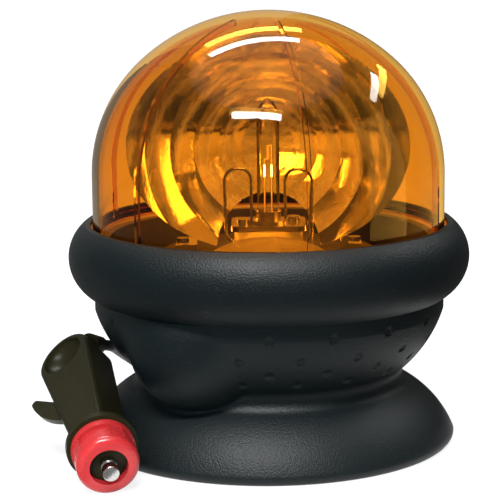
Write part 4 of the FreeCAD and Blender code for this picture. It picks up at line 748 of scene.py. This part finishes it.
def photo_camera(context, stage):
    """Camera at the photograph's viewing angle."""
    data = bpy.data.cameras.new("photo_camera")
    data.sensor_fit = "HORIZONTAL"
    data.sensor_width = 36.0
    data.lens = stage.lens
    data.clip_end = 50.0
    camera = new_object(context, "photo_camera", data)
    aim = (Matrix.Rotation(stage.turn, 4, "Z") @ Matrix.Rotation(math.pi / 2 - stage.pitch, 4, "X")
           @ Matrix.Rotation(-stage.roll, 4, "Z"))
    camera.matrix_world = Matrix.Translation((0, -stage.distance, stage.height)) @ aim
    context.scene.camera = camera


def seen_directly(tree):
    """One for rays from the camera, off a gloss or through glass, which all meet the plain white surround."""
    path = add(tree, "ShaderNodeLightPath").outputs
    gloss = number(tree, "MAXIMUM", path["Is Glossy Ray"], path["Is Transmission Ray"])
    return number(tree, "MAXIMUM", path["Is Camera Ray"], gloss)


def studio_floor(context):
    """Pale floor that is seen as white, a little darker round the foot, and keeps its shadow."""
    build = bmesh.new()
    bmesh.ops.create_grid(build, x_segments=1, y_segments=1, size=FLOOR_HALF)
    mesh = finished_mesh("floor", build)
    mat, tree, skin = new_material("Studio floor", roughness=0.9)
    feed(tree, skin, Base_Color=(0.8, 0.8, 0.8, 1))
    away = vector(tree, "LENGTH", object_place(tree), out="Value")
    glow = add(tree, "ShaderNodeEmission", Strength=spread(tree, away, FLOOR_SHADE, 1.0, *FLOOR_REACH))
    shade = add(tree, "ShaderNodeBsdfDiffuse", Color=(0.2, 0.2, 0.2, 1))
    bright = add(tree, "ShaderNodeAddShader", i0=glow.outputs[0], i1=shade.outputs[0])
    show_mixed(tree, seen_directly(tree), skin, bright)
    mesh.materials.append(mat)
    return new_object(context, "floor", mesh)


def studio_wall(context, name, start, end, edges, glow, met_by):
    """Curved wall that only mirrored light meets: off the outside, off what is inside the dome, or both."""
    build = bmesh.new()
    folds = 48
    columns = []
    for fold in range(folds + 1):
        bearing = start + (end - start) * fold / folds
        columns.append([build.verts.new((radius * math.sin(bearing), -radius * math.cos(bearing), height))
                        for radius, height in edges])
    for left, right in zip(columns, columns[1:]):
        for low in range(len(edges) - 1):
            build.faces.new((left[low], right[low], right[low + 1], left[low + 1]))
    mesh = finished_mesh(name, build)
    mat, tree, skin = new_material(name, roughness=1.0)
    feed(tree, skin, Base_Color=(0.03, 0.03, 0.03, 1), Emission_Color=WHITE, Emission_Strength=glow)
    path = add(tree, "ShaderNodeLightPath").outputs
    passed = path["Is Transmission Ray" if met_by == "both" else "Transmission Depth"]
    clear = add(tree, "ShaderNodeBsdfTransparent")
    first, second = (clear, skin) if met_by == "inside" else (skin, clear)
    show_mixed(tree, passed, first, second)
    mesh.materials.append(mat)
    wall = new_object(context, name, mesh)
    wall.visible_camera = False
    wall.visible_transmission = False
    wall.visible_diffuse = False
    wall.visible_shadow = False
    return wall


def wall_section(hem, radius, height, lift):
    """Section of a studio wall as radius and height: out along the floor, then up."""
    return (hem, lift), (radius, lift), (radius, height)


def studio_world(scene):
    """Soft light from all round, in a plain white surround."""
    scene.world = bpy.data.worlds.new("studio")
    scene.world.use_nodes = True
    tree = scene.world.node_tree
    soft = tree.nodes["Background"]
    feed(tree, soft, Color=WHITE, Strength=0.15)
    white = add(tree, "ShaderNodeBackground", Color=WHITE, Strength=1.0)
    show_mixed(tree, seen_directly(tree), soft, white, "World Output")


def area_light(context, name, place, target, size, power, mirrored):
    data = bpy.data.lights.new(name, "AREA")
    data.shape = "RECTANGLE"
    data.size = size[0]
    data.size_y = size[1]
    data.energy = power
    lamp = new_object(context, name, data)
    lamp.location = place
    lamp.rotation_euler = (Vector(target) - Vector(place)).to_track_quat("-Z", "Y").to_euler()
    lamp.visible_glossy = mirrored


class BEACON_OT_stage(bpy.types.Operator):
    """Camera, floor, white surround, studio walls and soft studio lamps"""
    bl_idname = "beacon.stage"
    bl_label = "Camera and studio"

    def execute(self, context):
        stage = context.scene.beacon_stage
        photo_camera(context, stage)
        floor = studio_floor(context)
        hung = wall_section(stage.curtain_hem, stage.curtain_radius, stage.curtain_height, CURTAIN_LIFT)
        stood = wall_section(stage.card_hem, stage.card_radius, stage.card_height, CARD_LIFT)
        split = math.degrees(stage.curtain_split)
        # Each wall's first and last bearing in degrees, its section, its glow, and which light meets it
        walls = (
            ("left_curtain", -140, split, hung, 0.12, "both"),
            ("right_curtain", split, 176, hung, 0.0, "outside"),
            ("back_curtain", 176, 220, hung, 0.25, "outside"),
            ("bright_card", 60, 87, stood, 7.0, "inside"),
        )
        for name, start, end, edges, glow, met_by in walls:
            studio_wall(context, name, math.radians(start), math.radians(end), edges, glow, met_by)
        studio_world(context.scene)
        for lamp in LAMPS:
            area_light(context, *lamp)
        context.scene.view_settings.view_transform = "Standard"
        return {"FINISHED"}


OPERATORS = (
    BEACON_OT_stage, BEACON_OT_boot, BEACON_OT_dome, BEACON_OT_lamp, BEACON_OT_rotor, BEACON_OT_inside,
    BEACON_OT_plug, BEACON_OT_cord,
)


class BEACON_PT_panel(bpy.types.Panel):
    """Lists the beacon's pieces and finishes"""
    bl_idname = "BEACON_PT_panel"
    bl_label = "Beacon"
    bl_space_type = "VIEW_3D"
    bl_region_type = "UI"
    bl_category = "Beacon"

    def draw(self, context):
        layout = self.layout
        scene = context.scene
        for group in (scene.beacon_finish, scene.beacon_boot, scene.beacon_cord, scene.beacon_stage):
            box = layout.box()
            for key in group.__annotations__:
                box.prop(group, key)
        for operator in OPERATORS:
            layout.operator(operator.bl_idname)


CLASSES = (BeaconFinish, BeaconBoot, BeaconCord, BeaconStage, *OPERATORS, BEACON_PT_panel)


def register():
    for item in CLASSES:
        bpy.utils.register_class(item)
    bpy.types.Scene.beacon_finish = bpy.props.PointerProperty(type=BeaconFinish)
    bpy.types.Scene.beacon_boot = bpy.props.PointerProperty(type=BeaconBoot)
    bpy.types.Scene.beacon_cord = bpy.props.PointerProperty(type=BeaconCord)
    bpy.types.Scene.beacon_stage = bpy.props.PointerProperty(type=BeaconStage)


def unregister():
    del bpy.types.Scene.beacon_stage
    del bpy.types.Scene.beacon_cord
    del bpy.types.Scene.beacon_boot
    del bpy.types.Scene.beacon_finish
    for item in reversed(CLASSES):
        bpy.utils.unregister_class(item)


def main():
    register()
    for operator in OPERATORS:
        group, name = operator.bl_idname.split(".")
        getattr(getattr(bpy.ops, group), name)()


if __name__ == "__main__":
    main()
